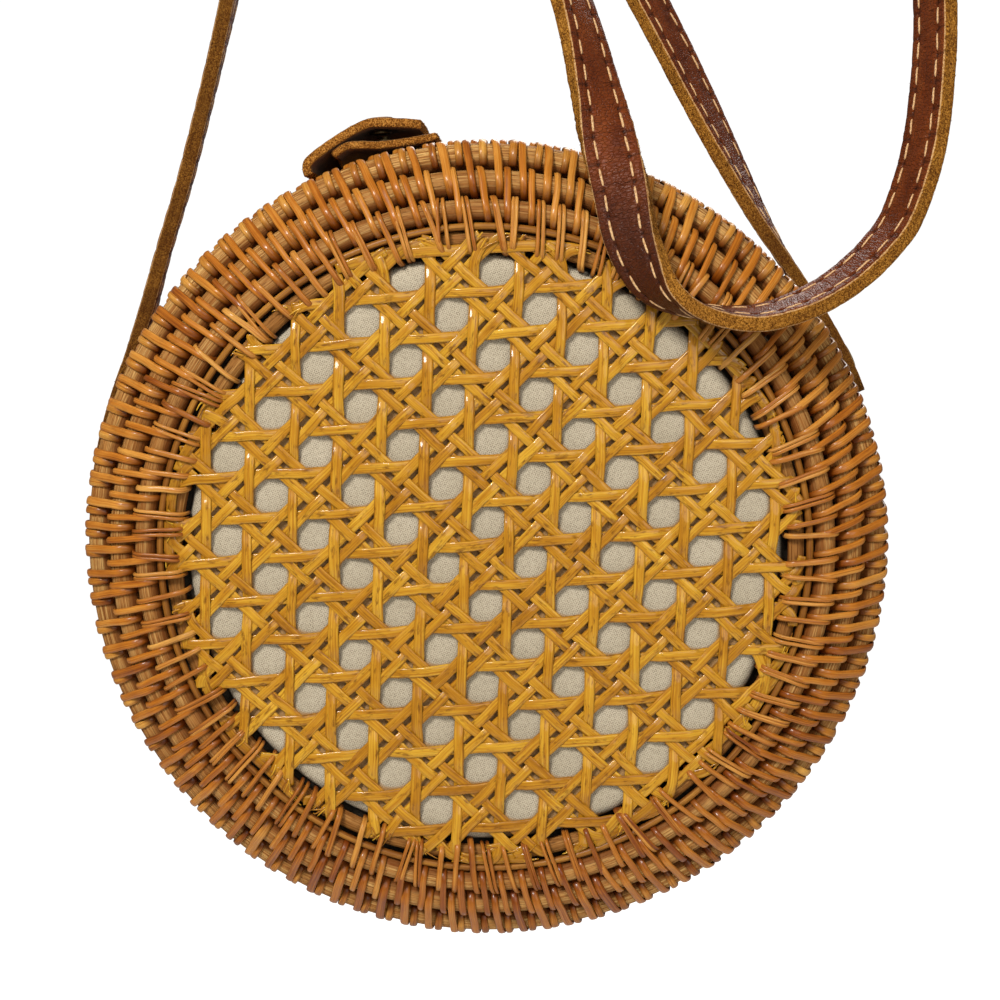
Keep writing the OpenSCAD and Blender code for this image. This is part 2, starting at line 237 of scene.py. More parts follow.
# ---------------------------------------------------------------- materials
class Mat:
    """A node material; the short methods add nodes and return their outputs."""

    def __init__(self, name, **fixed):
        self.m = bpy.data.materials.new(name)
        self.m.use_nodes = True
        self.t = self.m.node_tree
        self.t.nodes.clear()
        self.out = self.t.nodes.new("ShaderNodeOutputMaterial")
        self.b = self.t.nodes.new("ShaderNodeBsdfPrincipled")
        self.t.links.new(self.b.outputs[0], self.out.inputs[0])
        for k, v in fixed.items():
            self.b.inputs[k.replace("_", " ")].default_value = v

    def put(self, node, name, v):
        sock = node.inputs[name]
        if isinstance(v, bpy.types.NodeSocket):
            self.t.links.new(v, sock)
        else:
            sock.default_value = v

    def math(self, op, a, b=0.0, c=0.0, clamp=False):
        n = self.t.nodes.new("ShaderNodeMath")
        n.operation = op
        n.use_clamp = clamp
        for i, v in enumerate((a, b, c)):
            self.put(n, i, v)
        return n.outputs[0]

    def uv(self, su=1.0, sv=1.0, shift=None, rot=0.0):
        """UV in mm, scaled along and around, shifted by a per-strand value."""
        n = self.t.nodes.new("ShaderNodeUVMap")
        n.uv_map = "UVMap"
        s = self.t.nodes.new("ShaderNodeMapping")
        s.inputs["Scale"].default_value = (su, sv, 1.0)
        s.inputs["Rotation"].default_value = (0, 0, rot)
        self.t.links.new(n.outputs[0], s.inputs[0])
        if shift is None:
            return s.outputs[0]
        c = self.t.nodes.new("ShaderNodeCombineXYZ")
        self.put(c, 0, self.math("MULTIPLY", shift, 31.0))
        self.put(c, 1, self.math("MULTIPLY", shift, 17.0))
        self.put(c, 2, self.math("MULTIPLY", shift, 53.0))
        a = self.t.nodes.new("ShaderNodeVectorMath")
        self.put(a, 0, s.outputs[0])
        self.put(a, 1, c.outputs[0])
        return a.outputs[0]

    def obj(self, scale=1000.0):
        n = self.t.nodes.new("ShaderNodeTexCoord")
        s = self.t.nodes.new("ShaderNodeMapping")
        sc = scale if isinstance(scale, tuple) else (scale,) * 3
        s.inputs["Scale"].default_value = sc
        self.t.links.new(n.outputs["Object"], s.inputs[0])
        return s.outputs[0]

    def attr(self, name):
        n = self.t.nodes.new("ShaderNodeAttribute")
        n.attribute_name = name
        return n.outputs["Fac"]

    def noise(self, vec, scale=1.0, detail=3.0, rough=0.55, dist=0.0):
        n = self.t.nodes.new("ShaderNodeTexNoise")
        self.put(n, "Vector", vec)
        self.put(n, "Scale", scale)
        self.put(n, "Detail", detail)
        self.put(n, "Roughness", rough)
        self.put(n, "Distortion", dist)
        return n.outputs["Fac"]

    def voronoi(self, vec, scale=1.0, feature="F1", rand=1.0, flat=False):
        n = self.t.nodes.new("ShaderNodeTexVoronoi")
        if flat:
            n.voronoi_dimensions = "2D"
        n.feature = feature
        self.put(n, "Vector", vec)
        self.put(n, "Scale", scale)
        self.put(n, "Randomness", rand)
        return n.outputs["Distance"]

    def ramp(self, fac, *stops):
        n = self.t.nodes.new("ShaderNodeValToRGB")
        e = n.color_ramp.elements
        while len(e) < len(stops):
            e.new(0.5)
        for i, (p, c) in enumerate(stops):
            e[i].position = p
            e[i].color = (*c, 1.0) if hasattr(c, "__len__") else (c, c, c, 1.0)
        self.put(n, 0, fac)
        return n.outputs[0]

    def span(self, fac, lo, hi, a=0.0, b=1.0):
        n = self.t.nodes.new("ShaderNodeMapRange")
        self.put(n, "Value", fac)
        for k, v in (("From Min", lo), ("From Max", hi), ("To Min", a), ("To Max", b)):
            self.put(n, k, v)
        return n.outputs[0]

    def mix(self, fac, a, b, mode="MIX"):
        n = self.t.nodes.new("ShaderNodeMix")
        n.data_type = "RGBA"
        n.blend_type = mode
        self.put(n, 0, fac)
        for i, v in ((6, a), (7, b)):
            self.put(n, i, v if isinstance(v, bpy.types.NodeSocket) else (*v, 1.0))
        return n.outputs[2]

    def bump(self, height, strength=0.5, mm=0.1, normal=None):
        n = self.t.nodes.new("ShaderNodeBump")
        self.put(n, "Height", height)
        self.put(n, "Strength", strength)
        self.put(n, "Distance", mm / 1000.0)
        if normal is not None:
            self.put(n, "Normal", normal)
        return n.outputs[0]

    def set(self, **kw):
        for k, v in kw.items():
            self.put(self.b, k.replace("_", " "), v)
        return self.m


def rattan_rod(name, a, b, c):
    g = Mat(name, Specular_IOR_Level=0.14)
    tone = g.attr("tone")
    fib = g.noise(g.uv(0.045, 2.4, tone), 1.0, 5.0, 0.62, 0.3)
    fine = g.noise(g.uv(0.12, 6.5, tone), 1.0, 3.0, 0.6)
    darkening = g.noise(g.uv(0.03, 0.09, tone), 1.0, 3.0)
    f = g.math("ADD", g.math("MULTIPLY", fib, 0.62), g.math("MULTIPLY", fine, 0.38))
    col = g.ramp(f, (0.385, a), (0.495, b), (0.60, c))
    col = g.mix(g.span(darkening, 0.35, 0.7, 0.0, 0.55), col, (b[0] * 0.72, b[1] * 0.58, b[2] * 0.45))
    pore = g.span(g.noise(g.uv(0.25, 6.0, tone), 1.0, 2.0), 0.555, 0.655)
    col = g.mix(g.math("MULTIPLY", pore, 0.74), col, (a[0] * 0.45, a[1] * 0.4, a[2] * 0.35))
    # painted shade from the dark attribute, on the rods' sides and round the rim
    dark = g.attr("dark")
    col = g.mix(g.math("MULTIPLY", dark, 0.86), col, (0.130, 0.030, 0.002))
    n = g.bump(f, 0.85, 0.22, g.bump(pore, 0.5, -0.09))
    return g.set(Base_Color=col, Roughness=g.span(f, 0.3, 0.7, 0.78, 0.55), Normal=n)


def strand(name, deep, mid, pale, gloss=0.32, coat=0.3, streak=5.0, ends=0.55, darkening=0.3, spec=0.17, coat_rough=0.14, fleck=(0.16, 0.5), lines=0.55):
    g = Mat(name, Specular_IOR_Level=spec, Coat_Weight=coat, Coat_Roughness=coat_rough)
    tone, dark = g.attr("tone"), g.attr("dark")
    long = g.noise(g.uv(0.05, streak, tone), 1.0, 4.0, 0.6)
    blot = g.noise(g.uv(0.10, 0.25, tone), 1.0, 3.0)
    t = g.math("ADD", g.math("MULTIPLY", tone, 0.40), g.math("MULTIPLY", blot, 0.30))
    t = g.math("ADD", t, g.math("MULTIPLY", long, 0.60))
    col = g.ramp(t, (0.44, deep), (0.63, mid), (0.82, pale))
    line = g.span(g.noise(g.uv(0.05, streak * 2.2, tone), 1.0, 2.0), 0.57, 0.69)
    col = g.mix(g.math("MULTIPLY", line, lines), col, tuple(x * 0.55 for x in deep))
    spot = g.span(g.noise(g.uv(fleck[0], fleck[1], tone), 1.0, 4.0, 0.65), 0.55, 0.68)
    col = g.mix(g.math("MULTIPLY", spot, darkening), col, tuple(x * 0.62 for x in deep))
    # the dark attribute darkens the colour: painted shade at strand ends and undersides and on the cane strands' lower
    # sides, and a random darkening towards the rim on some cane strands
    col = g.mix(g.math("MULTIPLY", dark, ends), col, (deep[0] * 0.60, deep[1] * 0.45, deep[2] * 0.3))
    n = g.bump(long, 0.6, 0.09)
    return g.set(Base_Color=col, Roughness=g.span(blot, 0.3, 0.7, gloss - 0.05, gloss + 0.16), Normal=n)


rod_mat = rattan_rod("rattan_rod", (0.190, 0.059, 0.008), (0.43, 0.208, 0.054), (0.67, 0.425, 0.148))
binder_mat = rattan_rod("rattan_binder", (0.13, 0.044, 0.007), (0.30, 0.130, 0.028), (0.47, 0.245, 0.070))
thin_mat = strand("split_cane_ring", (0.16, 0.050, 0.006), (0.35, 0.145, 0.017), (0.54, 0.29, 0.05), 0.45, 0.06, 3.0, 0.9)
lash_mat = strand("rattan_lashing", (0.185, 0.041, 0.002), (0.40, 0.128, 0.009), (0.56, 0.255, 0.042), 0.36, 0.27, 3.4, 0.9)
pale_mat = strand("rattan_lashing_outer", (0.17, 0.040, 0.003), (0.39, 0.145, 0.015), (0.57, 0.29, 0.055), 0.40, 0.20, 3.4, 0.9)
inner_mat = strand("rattan_lashing_inner", (0.16, 0.036, 0.004), (0.38, 0.130, 0.014), (0.58, 0.29, 0.060), 0.40, 0.20, 4.0, 0.9)
cane_mat = strand("cane_webbing", (0.20, 0.064, 0.002), (0.405, 0.172, 0.0060), (0.60, 0.340, 0.025), 0.40, 0.40, 3.0, 0.8, 0.8, 0.14, 0.10, (0.30, 1.0), 0.40)


def leather(name):
    g = Mat(name, Specular_IOR_Level=0.12, Coat_Weight=0.13, Coat_Roughness=0.28)
    dark = g.attr("dark")
    wr = g.noise(g.uv(1.5, 0.32, None, 0.12), 1.0, 3.0, 0.55, 0.5)
    cr = g.voronoi(g.uv(1.5, 0.75, None, 0.3), 1.0, "DISTANCE_TO_EDGE")
    fold = g.noise(g.uv(0.55, 0.09), 1.0, 3.0, 0.6)
    peb = g.voronoi(g.uv(3.6, 3.6), 1.0)
    big = g.noise(g.uv(0.07, 0.16), 1.0, 3.0)
    crack = g.span(cr, 0.0, 0.14, 0.0, 1.0)
    col = g.ramp(big, (0.30, (0.086, 0.0152, 0.0022)), (0.52, (0.142, 0.0280, 0.0042)), (0.74, (0.192, 0.0450, 0.0078)))
    col = g.mix(g.span(wr, 0.52, 0.72, 0.0, 0.22), col, (0.25, 0.078, 0.018))
    col = g.mix(g.span(wr, 0.30, 0.44, 0.35, 0.0), col, (0.050, 0.010, 0.002))
    col = g.mix(g.span(crack, 0.0, 1.0, 0.30, 0.0), col, (0.050, 0.010, 0.002))
    # painted shade from the dark attribute, in the stitch holes and creases and where the loose loop bends
    col = g.mix(g.math("MULTIPLY", dark, 0.9), col, (0.016, 0.005, 0.003))
    n = g.bump(wr, 0.75, 0.36, g.bump(crack, 0.7, 0.22, g.bump(fold, 0.7, 1.2, g.bump(peb, 0.25, 0.05))))
    return g.set(Base_Color=col, Roughness=g.span(wr, 0.3, 0.75, 0.58, 0.44), Normal=n, Coat_Normal=n)


def raw_edge(name, a=(0.066, 0.019, 0.003), b=(0.215, 0.079, 0.008), c=(0.50, 0.228, 0.034)):
    g = Mat(name, Specular_IOR_Level=0.1, Roughness=0.95)
    p = g.obj(1000.0)
    f = g.noise(p, 2.5, 4.0, 0.75, 0.4)
    h = g.noise(p, 5.5, 3.0, 0.7)
    s = g.noise(p, 0.25, 2.0)
    t = g.math("ADD", g.math("MULTIPLY", f, 0.62), g.math("ADD", g.math("MULTIPLY", h, 0.28), g.math("MULTIPLY", s, 0.10)))
    col = g.ramp(t, (0.42, a), (0.49, b), (0.57, c))
    # painted shade from the dark attribute, on the strap's raw edges near both ends
    col = g.mix(g.math("MULTIPLY", g.attr("dark"), 0.8), col, (0.060, 0.018, 0.003))
    return g.set(Base_Color=col, Normal=g.bump(f, 0.9, 0.45, g.bump(h, 0.7, 0.16)))


def suede(name, a, b, rough=0.9):
    g = Mat(name, Specular_IOR_Level=0.15, Sheen_Weight=0.06, Sheen_Roughness=0.5)
    p = g.obj(1000.0)
    f = g.noise(p, 2.2, 5.0, 0.7, 0.6)
    s = g.noise(p, 0.18, 3.0)
    col = g.mix(g.span(g.math("ADD", g.math("MULTIPLY", f, 0.6), g.math("MULTIPLY", s, 0.4)), 0.38, 0.62), a, b)
    return g.set(Base_Color=col, Roughness=g.span(f, 0.3, 0.7, rough, rough - 0.12), Normal=g.bump(f, 0.6, 0.18))


def linen(name):
    g = Mat(name, Specular_IOR_Level=0.12, Roughness=0.95)
    tc = g.t.nodes.new("ShaderNodeUVMap")
    tc.uv_map = "UVMap"
    sp = g.t.nodes.new("ShaderNodeSeparateXYZ")
    g.put(sp, 0, tc.outputs[0])
    slub = g.noise(g.uv(0.35, 3.0), 1.0, 3.0)
    slub2 = g.noise(g.uv(3.0, 0.35), 1.0, 3.0)
    x = g.math("ADD", sp.outputs[0], g.math("MULTIPLY", slub2, 0.35))
    y = g.math("ADD", sp.outputs[1], g.math("MULTIPLY", slub, 0.35))
    k = 2 * math.pi / 0.98
    sx, sy = g.math("SINE", g.math("MULTIPLY", x, k)), g.math("SINE", g.math("MULTIPLY", y, k))
    weave = g.math("MULTIPLY", sx, sy)
    gap = g.span(g.voronoi(g.uv(2.2, 2.2, None, 0.5), 1.0, "F1", 0.34, True), 0.14, 0.40, 1.0, 0.0)
    speck = g.span(g.noise(g.uv(0.9, 0.9), 1.0, 2.0), 0.38, 0.60)
    big = g.noise(g.uv(0.06, 0.06), 1.0, 3.0)
    col = g.ramp(big, (0.3, (0.415, 0.358, 0.258)), (0.7, (0.495, 0.432, 0.322)))
    col = g.mix(g.math("MULTIPLY", gap, g.math("ADD", 0.46, g.math("MULTIPLY", speck, 0.45))), col, (0.092, 0.066, 0.038))
    # painted shade and painted warm bounce light from the cane, on the lining away from the open holes, which lie where
    # i + j is even
    inv = np.linalg.inv(np.stack([EI, EJ], 1))
    wave = []
    for a in (0, 1):
        off = -float(inv[a] @ ORIGIN)
        q = g.math("ADD", g.math("MULTIPLY", sp.outputs[0], float(inv[a, 0])), g.math("MULTIPLY", sp.outputs[1], float(inv[a, 1])))
        wave.append(g.math("COSINE", g.math("MULTIPLY", g.math("ADD", q, off), math.pi)))
    cane_bounce_shade = g.span(g.math("MULTIPLY", wave[0], wave[1]), 0.24, 0.42, 1.0, 0.0)
    cane_bounce_shade = g.math("MULTIPLY", cane_bounce_shade, g.attr("tone"))
    col = g.mix(g.math("MULTIPLY", cane_bounce_shade, 0.82), col, (0.32, 0.160, 0.042))
    # painted shade blackens the lining where it drops back behind the hoops
    col = g.mix(g.math("MULTIPLY", g.attr("dark"), 0.93), col, (0.020, 0.014, 0.009))
    th = g.math("ADD", g.math("MULTIPLY", weave, 0.5), g.math("ADD", slub, slub2))
    return g.set(Base_Color=col, Normal=g.bump(th, 0.6, 0.12))


def thread(name):
    g = Mat(name, Roughness=0.62, Specular_IOR_Level=0.4, Sheen_Weight=0.2, Sheen_Roughness=0.4)
    tw = g.noise(g.uv(2.2, 2.0, None, 0.8), 1.0, 2.0)
    n = g.noise(g.uv(0.25, 0.4), 1.0, 2.0)
    col = g.ramp(g.math("ADD", g.math("MULTIPLY", tw, 0.6), g.math("MULTIPLY", n, 0.4)), (0.36, (0.38, 0.19, 0.07)), (0.62, (0.74, 0.49, 0.24)))
    return g.set(Base_Color=col, Normal=g.bump(tw, 0.6, 0.08))


def brass(name, share=1.0):
    g = Mat(name, Metallic=1.0)
    p = g.obj(1000.0)
    f, s = g.noise(p, 1.6, 4.0, 0.6), g.noise(p, 9.0, 2.0)
    col = g.ramp(f, (0.35, tuple(share * x for x in (0.30, 0.20, 0.085))), (0.6, tuple(share * x for x in (0.60, 0.46, 0.23))))
    return g.set(Base_Color=col, Roughness=g.span(f, 0.3, 0.7, 0.45, 0.24), Normal=g.bump(s, 0.15, 0.02))


leather_mat, edge_mat, thread_mat = leather("strap_leather"), raw_edge("raw_leather_edge"), thread("stitch_thread")
flap_edge_mat = raw_edge("closure_edge", (0.080, 0.022, 0.003), (0.31, 0.108, 0.013), (0.68, 0.32, 0.065))
border_mat = raw_edge("coat_border", (0.30, 0.13, 0.035), (0.50, 0.27, 0.10), (0.66, 0.42, 0.20))
cover_mat = suede("snap_cover", (0.16, 0.066, 0.018), (0.30, 0.15, 0.05), 0.75)
suede_mat = suede("flesh_side", (0.10, 0.040, 0.010), (0.20, 0.095, 0.027))
tab_mat = suede("tab_leather", (0.125, 0.052, 0.016), (0.25, 0.125, 0.048), 0.62)
brass_mat, snap_mat = brass("brass_hardware"), brass("snap_metal", 0.16)

# ---------------------------------------------------------------- strap (the cord)
strap_w, strap_t = 13.0, 3.8
route = [
    ((-0.09971, 0, -0.24528), (0, 1, 0)),
    ((-0.09637, 0, -0.23501), (0, 1, 0)),
    ((-0.09124, 0, -0.22344), (0, 1, 0)),
    ((-0.0866, 0, -0.2149), (-0.04, 1, 0)),
    ((-0.0822, 0, -0.2053), (-0.12, 0.99, 0)),
    ((-0.0754, 0, -0.1893), (-0.18, 0.98, 0)),
    ((-0.0654, 0.0005, -0.167), (-0.17, 0.98, 0)),
    ((-0.0506, 0.0015, -0.129), (-0.12, 0.99, 0)),
    ((-0.034, 0.0035, -0.082), (0.25, 0.97, 0)),
    ((-0.0175, 0.0063, -0.036), (0.85, 0.5, 0)),
    ((-0.009, 0.0079, -0.006), (1, 0.05, 0)),
    ((-0.0083, 0.00561, -0.00039), (1, 0, 0)),
    ((-0.0078, 0, 0.0019), (1, 0, 0)),
    ((-0.0075, -0.00561, -0.00039), (1, 0, 0)),
    ((-0.007, -0.0079, -0.006), (1, 0, 0)),
    ((0.0015, -0.012, -0.04), (0.86, 0.5, 0)),
    ((0.016, -0.0195, -0.084), (0.66, 0.75, 0)),
    ((0.0285, -0.0275, -0.122), (0.59, 0.81, 0)),
    ((0.0354, -0.034, -0.1442), (0.59, 0.81, 0)),
    ((0.0386, -0.04, -0.166), (0.82, 0.57, 0)),
    ((0.0401, -0.0435, -0.1782), (0.99, 0.14, 0)),
    ((0.0417, -0.0455, -0.1894), (0.97, -0.25, 0)),
    ((0.0429, -0.047, -0.2002), (0.88, -0.47, 0)),
    ((0.0466, -0.0483, -0.2105), (0.68, -0.73, -0.05)),
    ((0.0524, -0.049, -0.2165), (0.45, -0.89, -0.1)),
    ((0.0605, -0.0492, -0.2202), (0.2, -0.97, -0.15)),
    ((0.0693, -0.0492, -0.2218), (0.05, -0.98, -0.2)),
    ((0.0768, -0.0492, -0.2209), (0.05, -0.97, -0.25)),
    ((0.0843, -0.0492, -0.2186), (0.1, -0.95, -0.28)),
    ((0.092, -0.049, -0.2146), (0.18, -0.94, -0.28)),
    ((0.0991, -0.0485, -0.2091), (0.28, -0.93, -0.22)),
    ((0.105, -0.0475, -0.2024), (0.35, -0.92, -0.15)),
    ((0.1113, -0.046, -0.1881), (0.4, -0.91, -0.05)),
    ((0.1156, -0.043, -0.1707), (0.38, -0.92, 0)),
    ((0.118, -0.04, -0.1548), (0.36, -0.93, 0)),
    ((0.1192, -0.0365, -0.134), (0.4, -0.91, 0)),
    ((0.1155, -0.032, -0.104), (0.48, -0.87, 0)),
    ((0.101, -0.027, -0.067), (0.6, -0.8, 0)),
    ((0.074, -0.021, -0.032), (0.76, -0.65, 0)),
    ((0.042, -0.015, -0.009), (0.86, -0.5, 0.1)),
    ((0.02, -0.009, 0.002), (0.93, -0.3, -0.15)),
    ((0.0095, 0, 0.0019), (1, 0, 0)),
    ((0.008, 0.00561, -0.00039), (1, 0.05, 0)),
    ((0.008, 0.0079, -0.006), (1, 0.1, 0)),
    ((0.0145, 0.0068, -0.034), (0.93, 0.35, 0)),
    ((0.0325, 0.0055, -0.084), (0.8, 0.6, 0)),
    ((0.0565, 0.004, -0.1415), (0.68, 0.73, 0)),
    ((0.0662, 0.0035, -0.1661), (0.6, 0.8, 0)),
    ((0.073, 0.003, -0.1837), (0.46, 0.89, 0)),
    ((0.0794, 0.0015, -0.1997), (0.26, 0.96, 0)),
    ((0.0866, 0.0004, -0.2146), (0.06, 1, 0)),
    ((0.09124, 0, -0.22344), (0, 1, 0)),
    ((0.09637, 0, -0.23501), (0, 1, 0)),
    ((0.09971, 0, -0.24528), (0, 1, 0)),
]
keys = np.array([p for p, _ in route]) * 1000.0 + np.array([0, 0, HANG])
keyw = unit(np.array([w for _, w in route], float))
dense = catmull(keys, 6001)
wide = unit(catmull(keyw, 6001))
arc = np.concatenate([[0], np.cumsum(np.linalg.norm(np.diff(dense, axis=0), axis=1))])
strap_len = float(arc[-1])
PITCH = strap_len / round(strap_len / 6.1)
# both ends are thinned where they are riveted
from_end = np.linspace(0, len(keys) - 1, 6001)
from_end = np.clip((np.minimum(from_end, len(keys) - 1 - from_end) - 1.8) / 2.2, 0, 1)
thin = 0.63 + 0.37 * from_end**2 * (3 - 2 * from_end)
PER = 9
n_sec = int(round(strap_len / PITCH)) * PER + 1


def strap_frame(s):
    """Centre, width direction and normal of the strap at distances s (mm)."""
    h = 0.4
    at = lambda x: np.stack([np.interp(x, arc, dense[:, k]) for k in range(3)], -1)
    P = at(s)
    T = unit(at(np.minimum(s + h, strap_len)) - at(np.maximum(s - h, 0)))
    Wd = np.stack([np.interp(s, arc, wide[:, k]) for k in range(3)], -1)
    Wd = unit(Wd - T * (Wd * T).sum(-1, keepdims=True))
    return P, Wd, np.cross(T, Wd), T


def thick_at(s):
    """Share of the full thickness at distances s (mm)."""
    return np.interp(s, arc, thin)


rng = np.random.default_rng(11)
s_all = np.linspace(0, strap_len, n_sec)
SP, SW, SN, ST = strap_frame(s_all)
top_x = np.array([6.15, 5.7, 5.1, 4.5, 4.1, 3.85, 3.45, 3.2, 2.7, 1.9, 1.0, 0.0])
top_x = np.concatenate([top_x, -top_x[-2::-1]])
edge_p = [(6.42, 1.55), (6.5, 1.0), (6.47, 0.4), (6.36, 0.0), (6.47, -0.4), (6.5, -1.0), (6.42, -1.55)]
nt_, ne_ = len(top_x), len(edge_p)
sec = [(x, -y) for x, y in edge_p]
sec += [(x, 1.9 - (0.10 if abs(x) > 6 else 0.0)) for x in top_x]
sec += [(-x, y) for x, y in edge_p]
sec += [(-x, -(1.9 - (0.10 if abs(x) > 6 else 0.0))) for x in top_x]
sec = np.array(sec)
m_ = len(sec)
is_edge = np.zeros(m_, bool)
is_edge[:ne_] = True
is_edge[ne_ + nt_ : 2 * ne_ + nt_] = True
side_edge = np.zeros(m_, int)
side_edge[: ne_ - 1] = 1
side_edge[ne_ + nt_ : 2 * ne_ + nt_ - 1] = 1
side_edge[ne_ - 1] = side_edge[ne_ + nt_ - 1] = side_edge[2 * ne_ + nt_ - 1] = side_edge[m_ - 1] = 2
prof = np.repeat(sec[None], n_sec, 0)
k_off = np.arange(n_sec) % PER
d_hole = np.minimum(k_off, PER - k_off) * (PITCH / PER)
ROW = 3.65
row_d = np.abs(np.abs(sec[:, 0]) - ROW)
face = ~is_edge
groove = 0.10 * np.exp(-((row_d / 0.42) ** 2))
pit = 0.55 * np.exp(-((d_hole[:, None] / 0.62) ** 2)) * np.exp(-((row_d[None] / 0.34) ** 2))
out_x = np.clip((np.abs(sec[:, 0]) - ROW + 0.3) / 0.6, 0, 1)
crease = 0.10 * np.exp(-((d_hole[:, None] / 0.45) ** 2)) * out_x[None]
pillow = 0.07 * np.cos(np.clip(sec[:, 0] / ROW, -1, 1) * np.pi / 2) + 0.05 * np.cos(
    np.clip((np.abs(sec[:, 0]) - 5.0) / 1.35, -1, 1) * np.pi / 2
)
skin_wob = 0.035 * waves(rng, m_, s_all, 9.0).T
depth = groove[None] + pit + crease - pillow[None] + skin_wob
prof[:, face, 1] -= np.sign(sec[face, 1])[None] * depth[:, face]
wob = 0.05 * waves(rng, 2, s_all, 24.0).T
rough = rng.normal(0, 0.075, (n_sec, m_))
half = np.sign(sec[:, 0])
prof[:, is_edge, 0] += half[is_edge][None] * (rough[:, is_edge] + np.where(half[is_edge] > 0, wob[:, :1], wob[:, 1:]))
notch = 0.10 * np.exp(-((d_hole[:, None] / 0.5) ** 2))
prof[:, is_edge, 0] -= half[is_edge][None] * notch
prof[:, :, 1] *= thick_at(s_all)[:, None]
dk = np.zeros((n_sec, m_))
# painted shade in the stitch holes and in the creases beside them
dk[:, face] = np.clip(pit[:, face] / 0.42, 0, 1) + 0.55 * np.clip(crease[:, face] / 0.10, 0, 1) * (d_hole[:, None] < 0.3)
# painted shade on the raw edges near both ends of the strap
edge_shade = np.clip(np.interp(s_all / strap_len, [0, 0.16, 0.24, 0.93, 0.96, 1.0], [0.80, 0.68, 0.0, 0.0, 0.70, 0.85]) + 0.12 * waves(rng, 1, s_all, 30.0)[0], 0, 1)
dk[:, is_edge] = edge_shade[:, None]
# painted shade on the face where the loose loop bends
row_s = np.interp(np.array([20.3, 21.9, 24.2, 25.7]), np.linspace(0, len(keys) - 1, 6001), arc)
bend = np.interp(s_all, [row_s[0], row_s[1], row_s[2], row_s[3]], [0, 0.66, 0.64, 0])
dk[:, face] = np.maximum(dk[:, face], bend[:, None])
strap_parts = [tubes(SP, SW, SN, prof, tone=0.5, dark=np.clip(dk, 0, 1)[None], mat=side_edge, cap_mat=1)]
strap = build("strap_band", strap_parts, [leather_mat, edge_mat, border_mat], "strap_body", ("strap",))

# stitches: two rows on each face
ns = int(round(strap_len / PITCH))
K = 9
parts = []
uu = np.linspace(-1, 1, K)
ring7 = np.stack([np.cos(np.linspace(0, 2 * np.pi, 9)[:-1]), np.sin(np.linspace(0, 2 * np.pi, 9)[:-1])], -1)
for rx in (-ROW, ROW):
    for sgn in (-1, 1):
        mid = (np.arange(ns) + 0.5) * PITCH + rng.normal(0, 0.06, ns)
        halfl = 2.25 + rng.normal(0, 0.09, ns)
        s = np.clip(mid[:, None] + halfl[:, None] * uu[None], 0.3, strap_len - 0.3)
        P, Wd, Nn, T = strap_frame(s.ravel())
        lift = 1.9 - 0.10 + 0.07 - 0.62 * np.abs(uu) ** 7
        lat = rx + rng.normal(0, 0.07, (ns, 1)) + rng.normal(0, 0.10, (ns, 1)) * uu[None]
        P = (P + Wd * lat.reshape(-1, 1) + Nn * (sgn * (np.tile(lift, ns) + 1.9 * (thick_at(s.ravel()) - 1)))[:, None]).reshape(ns, K, 3)
        T2 = unit(np.gradient(P, axis=1))
        B = (sgn * Nn).reshape(ns, K, 3)
        B = unit(B - T2 * (B * T2).sum(-1, keepdims=True))
        A = np.cross(B, T2)
        size = 0.265 * (1 - 0.35 * np.abs(uu) ** 4)
        pr = ring7[None, None] * np.array([1.12, 0.82]) * size[None, :, None, None] * (1 + rng.normal(0, 0.06, (ns, 1, 1, 1)))
        parts.append(tubes(P, A, B, pr, tone=rng.random(ns)))
stitches = build("strap_stitches", parts, [thread_mat], "strap_body")


def fuzz(points, normals, along, length, base, rng, mat=0):
    """Short leather fibres standing on a raw edge, each a thin closed spike."""
    n = len(points)
    nrm = unit(normals + rng.normal(0, 0.55, (n, 3)))
    a = unit(np.cross(nrm, along))
    b = np.cross(nrm, a)
    ang = np.arange(3) * 2 * np.pi / 3
    w = base * (0.6 + 0.8 * rng.random(n))
    L = length * (0.35 + rng.random(n) ** 1.6)
    root = points - nrm * 0.12
    ring = root[:, None] + a[:, None] * (w[:, None] * np.cos(ang))[..., None] + b[:, None] * (w[:, None] * np.sin(ang))[..., None]
    tip = points + nrm * L[:, None] + along * rng.normal(0, 0.16, (n, 1))
    V = np.concatenate([ring, tip[:, None]], 1).reshape(-1, 3)
    o = (np.arange(n) * 4)[:, None]
    tri = np.concatenate([o + np.array([[i, (i + 1) % 3, 3]]) for i in range(3)] + [o + np.array([[2, 1, 0]])])
    one = V[:4]
    f = [(np.array([[0, 1, 3], [1, 2, 3], [2, 0, 3], [2, 1, 0]]), np.zeros((4, 3, 2)), np.zeros(4, int))]
    if volume(one, f) < 0:
        tri = tri[:, ::-1]
    return part(V, [(tri, np.zeros((len(tri), 3, 2)), np.full(len(tri), mat))], np.repeat(rng.random(n), 4))


parts = []
for sgn in (-1, 1):
    n = 5200
    s = rng.random(n) * strap_len
    P, Wd, Nn, T = strap_frame(s)
    y = rng.uniform(-1.75, 1.75, n) * thick_at(s)
    pts = P + Wd * (sgn * (6.5 - 0.12 * (np.abs(y) > 1.5)))[:, None] + Nn * y[:, None]
    parts.append(fuzz(pts, Wd * sgn + Nn * (y / 4)[:, None], T, 0.42, 0.075, rng))
strap_fuzz = build("strap_edge_fibres", parts, [edge_mat], "strap_body")

# ---------------------------------------------------------------- hoops
# hoop: radius, distance from the parting plane, rod radius
H6, H5, H4 = (96.2, 4.6, 3.3), (96.2, 12.3, 3.3), (96.2, 20.0, 3.3)
H1, H2, H3 = (95.6, 27.7, 3.3), (89.2, 32.5, 3.2), (82.8, 35.9, 2.6)
HT, HB = (78.9, 37.7, 0.9), (75.6, 36.0, 1.5)
SIDES = (("front", -1), ("back", 1))


def round_frame(theta, R, y):
    """Point, radial and along-the-rim directions; theta runs clockwise from the top."""
    st, ct = np.sin(theta), np.cos(theta)
    z = np.zeros_like(st)
    P = np.stack([R * st, np.broadcast_to(y, st.shape), R * ct], -1)
    return P, np.stack([st, z, ct], -1), np.stack([ct, z, -st], -1)


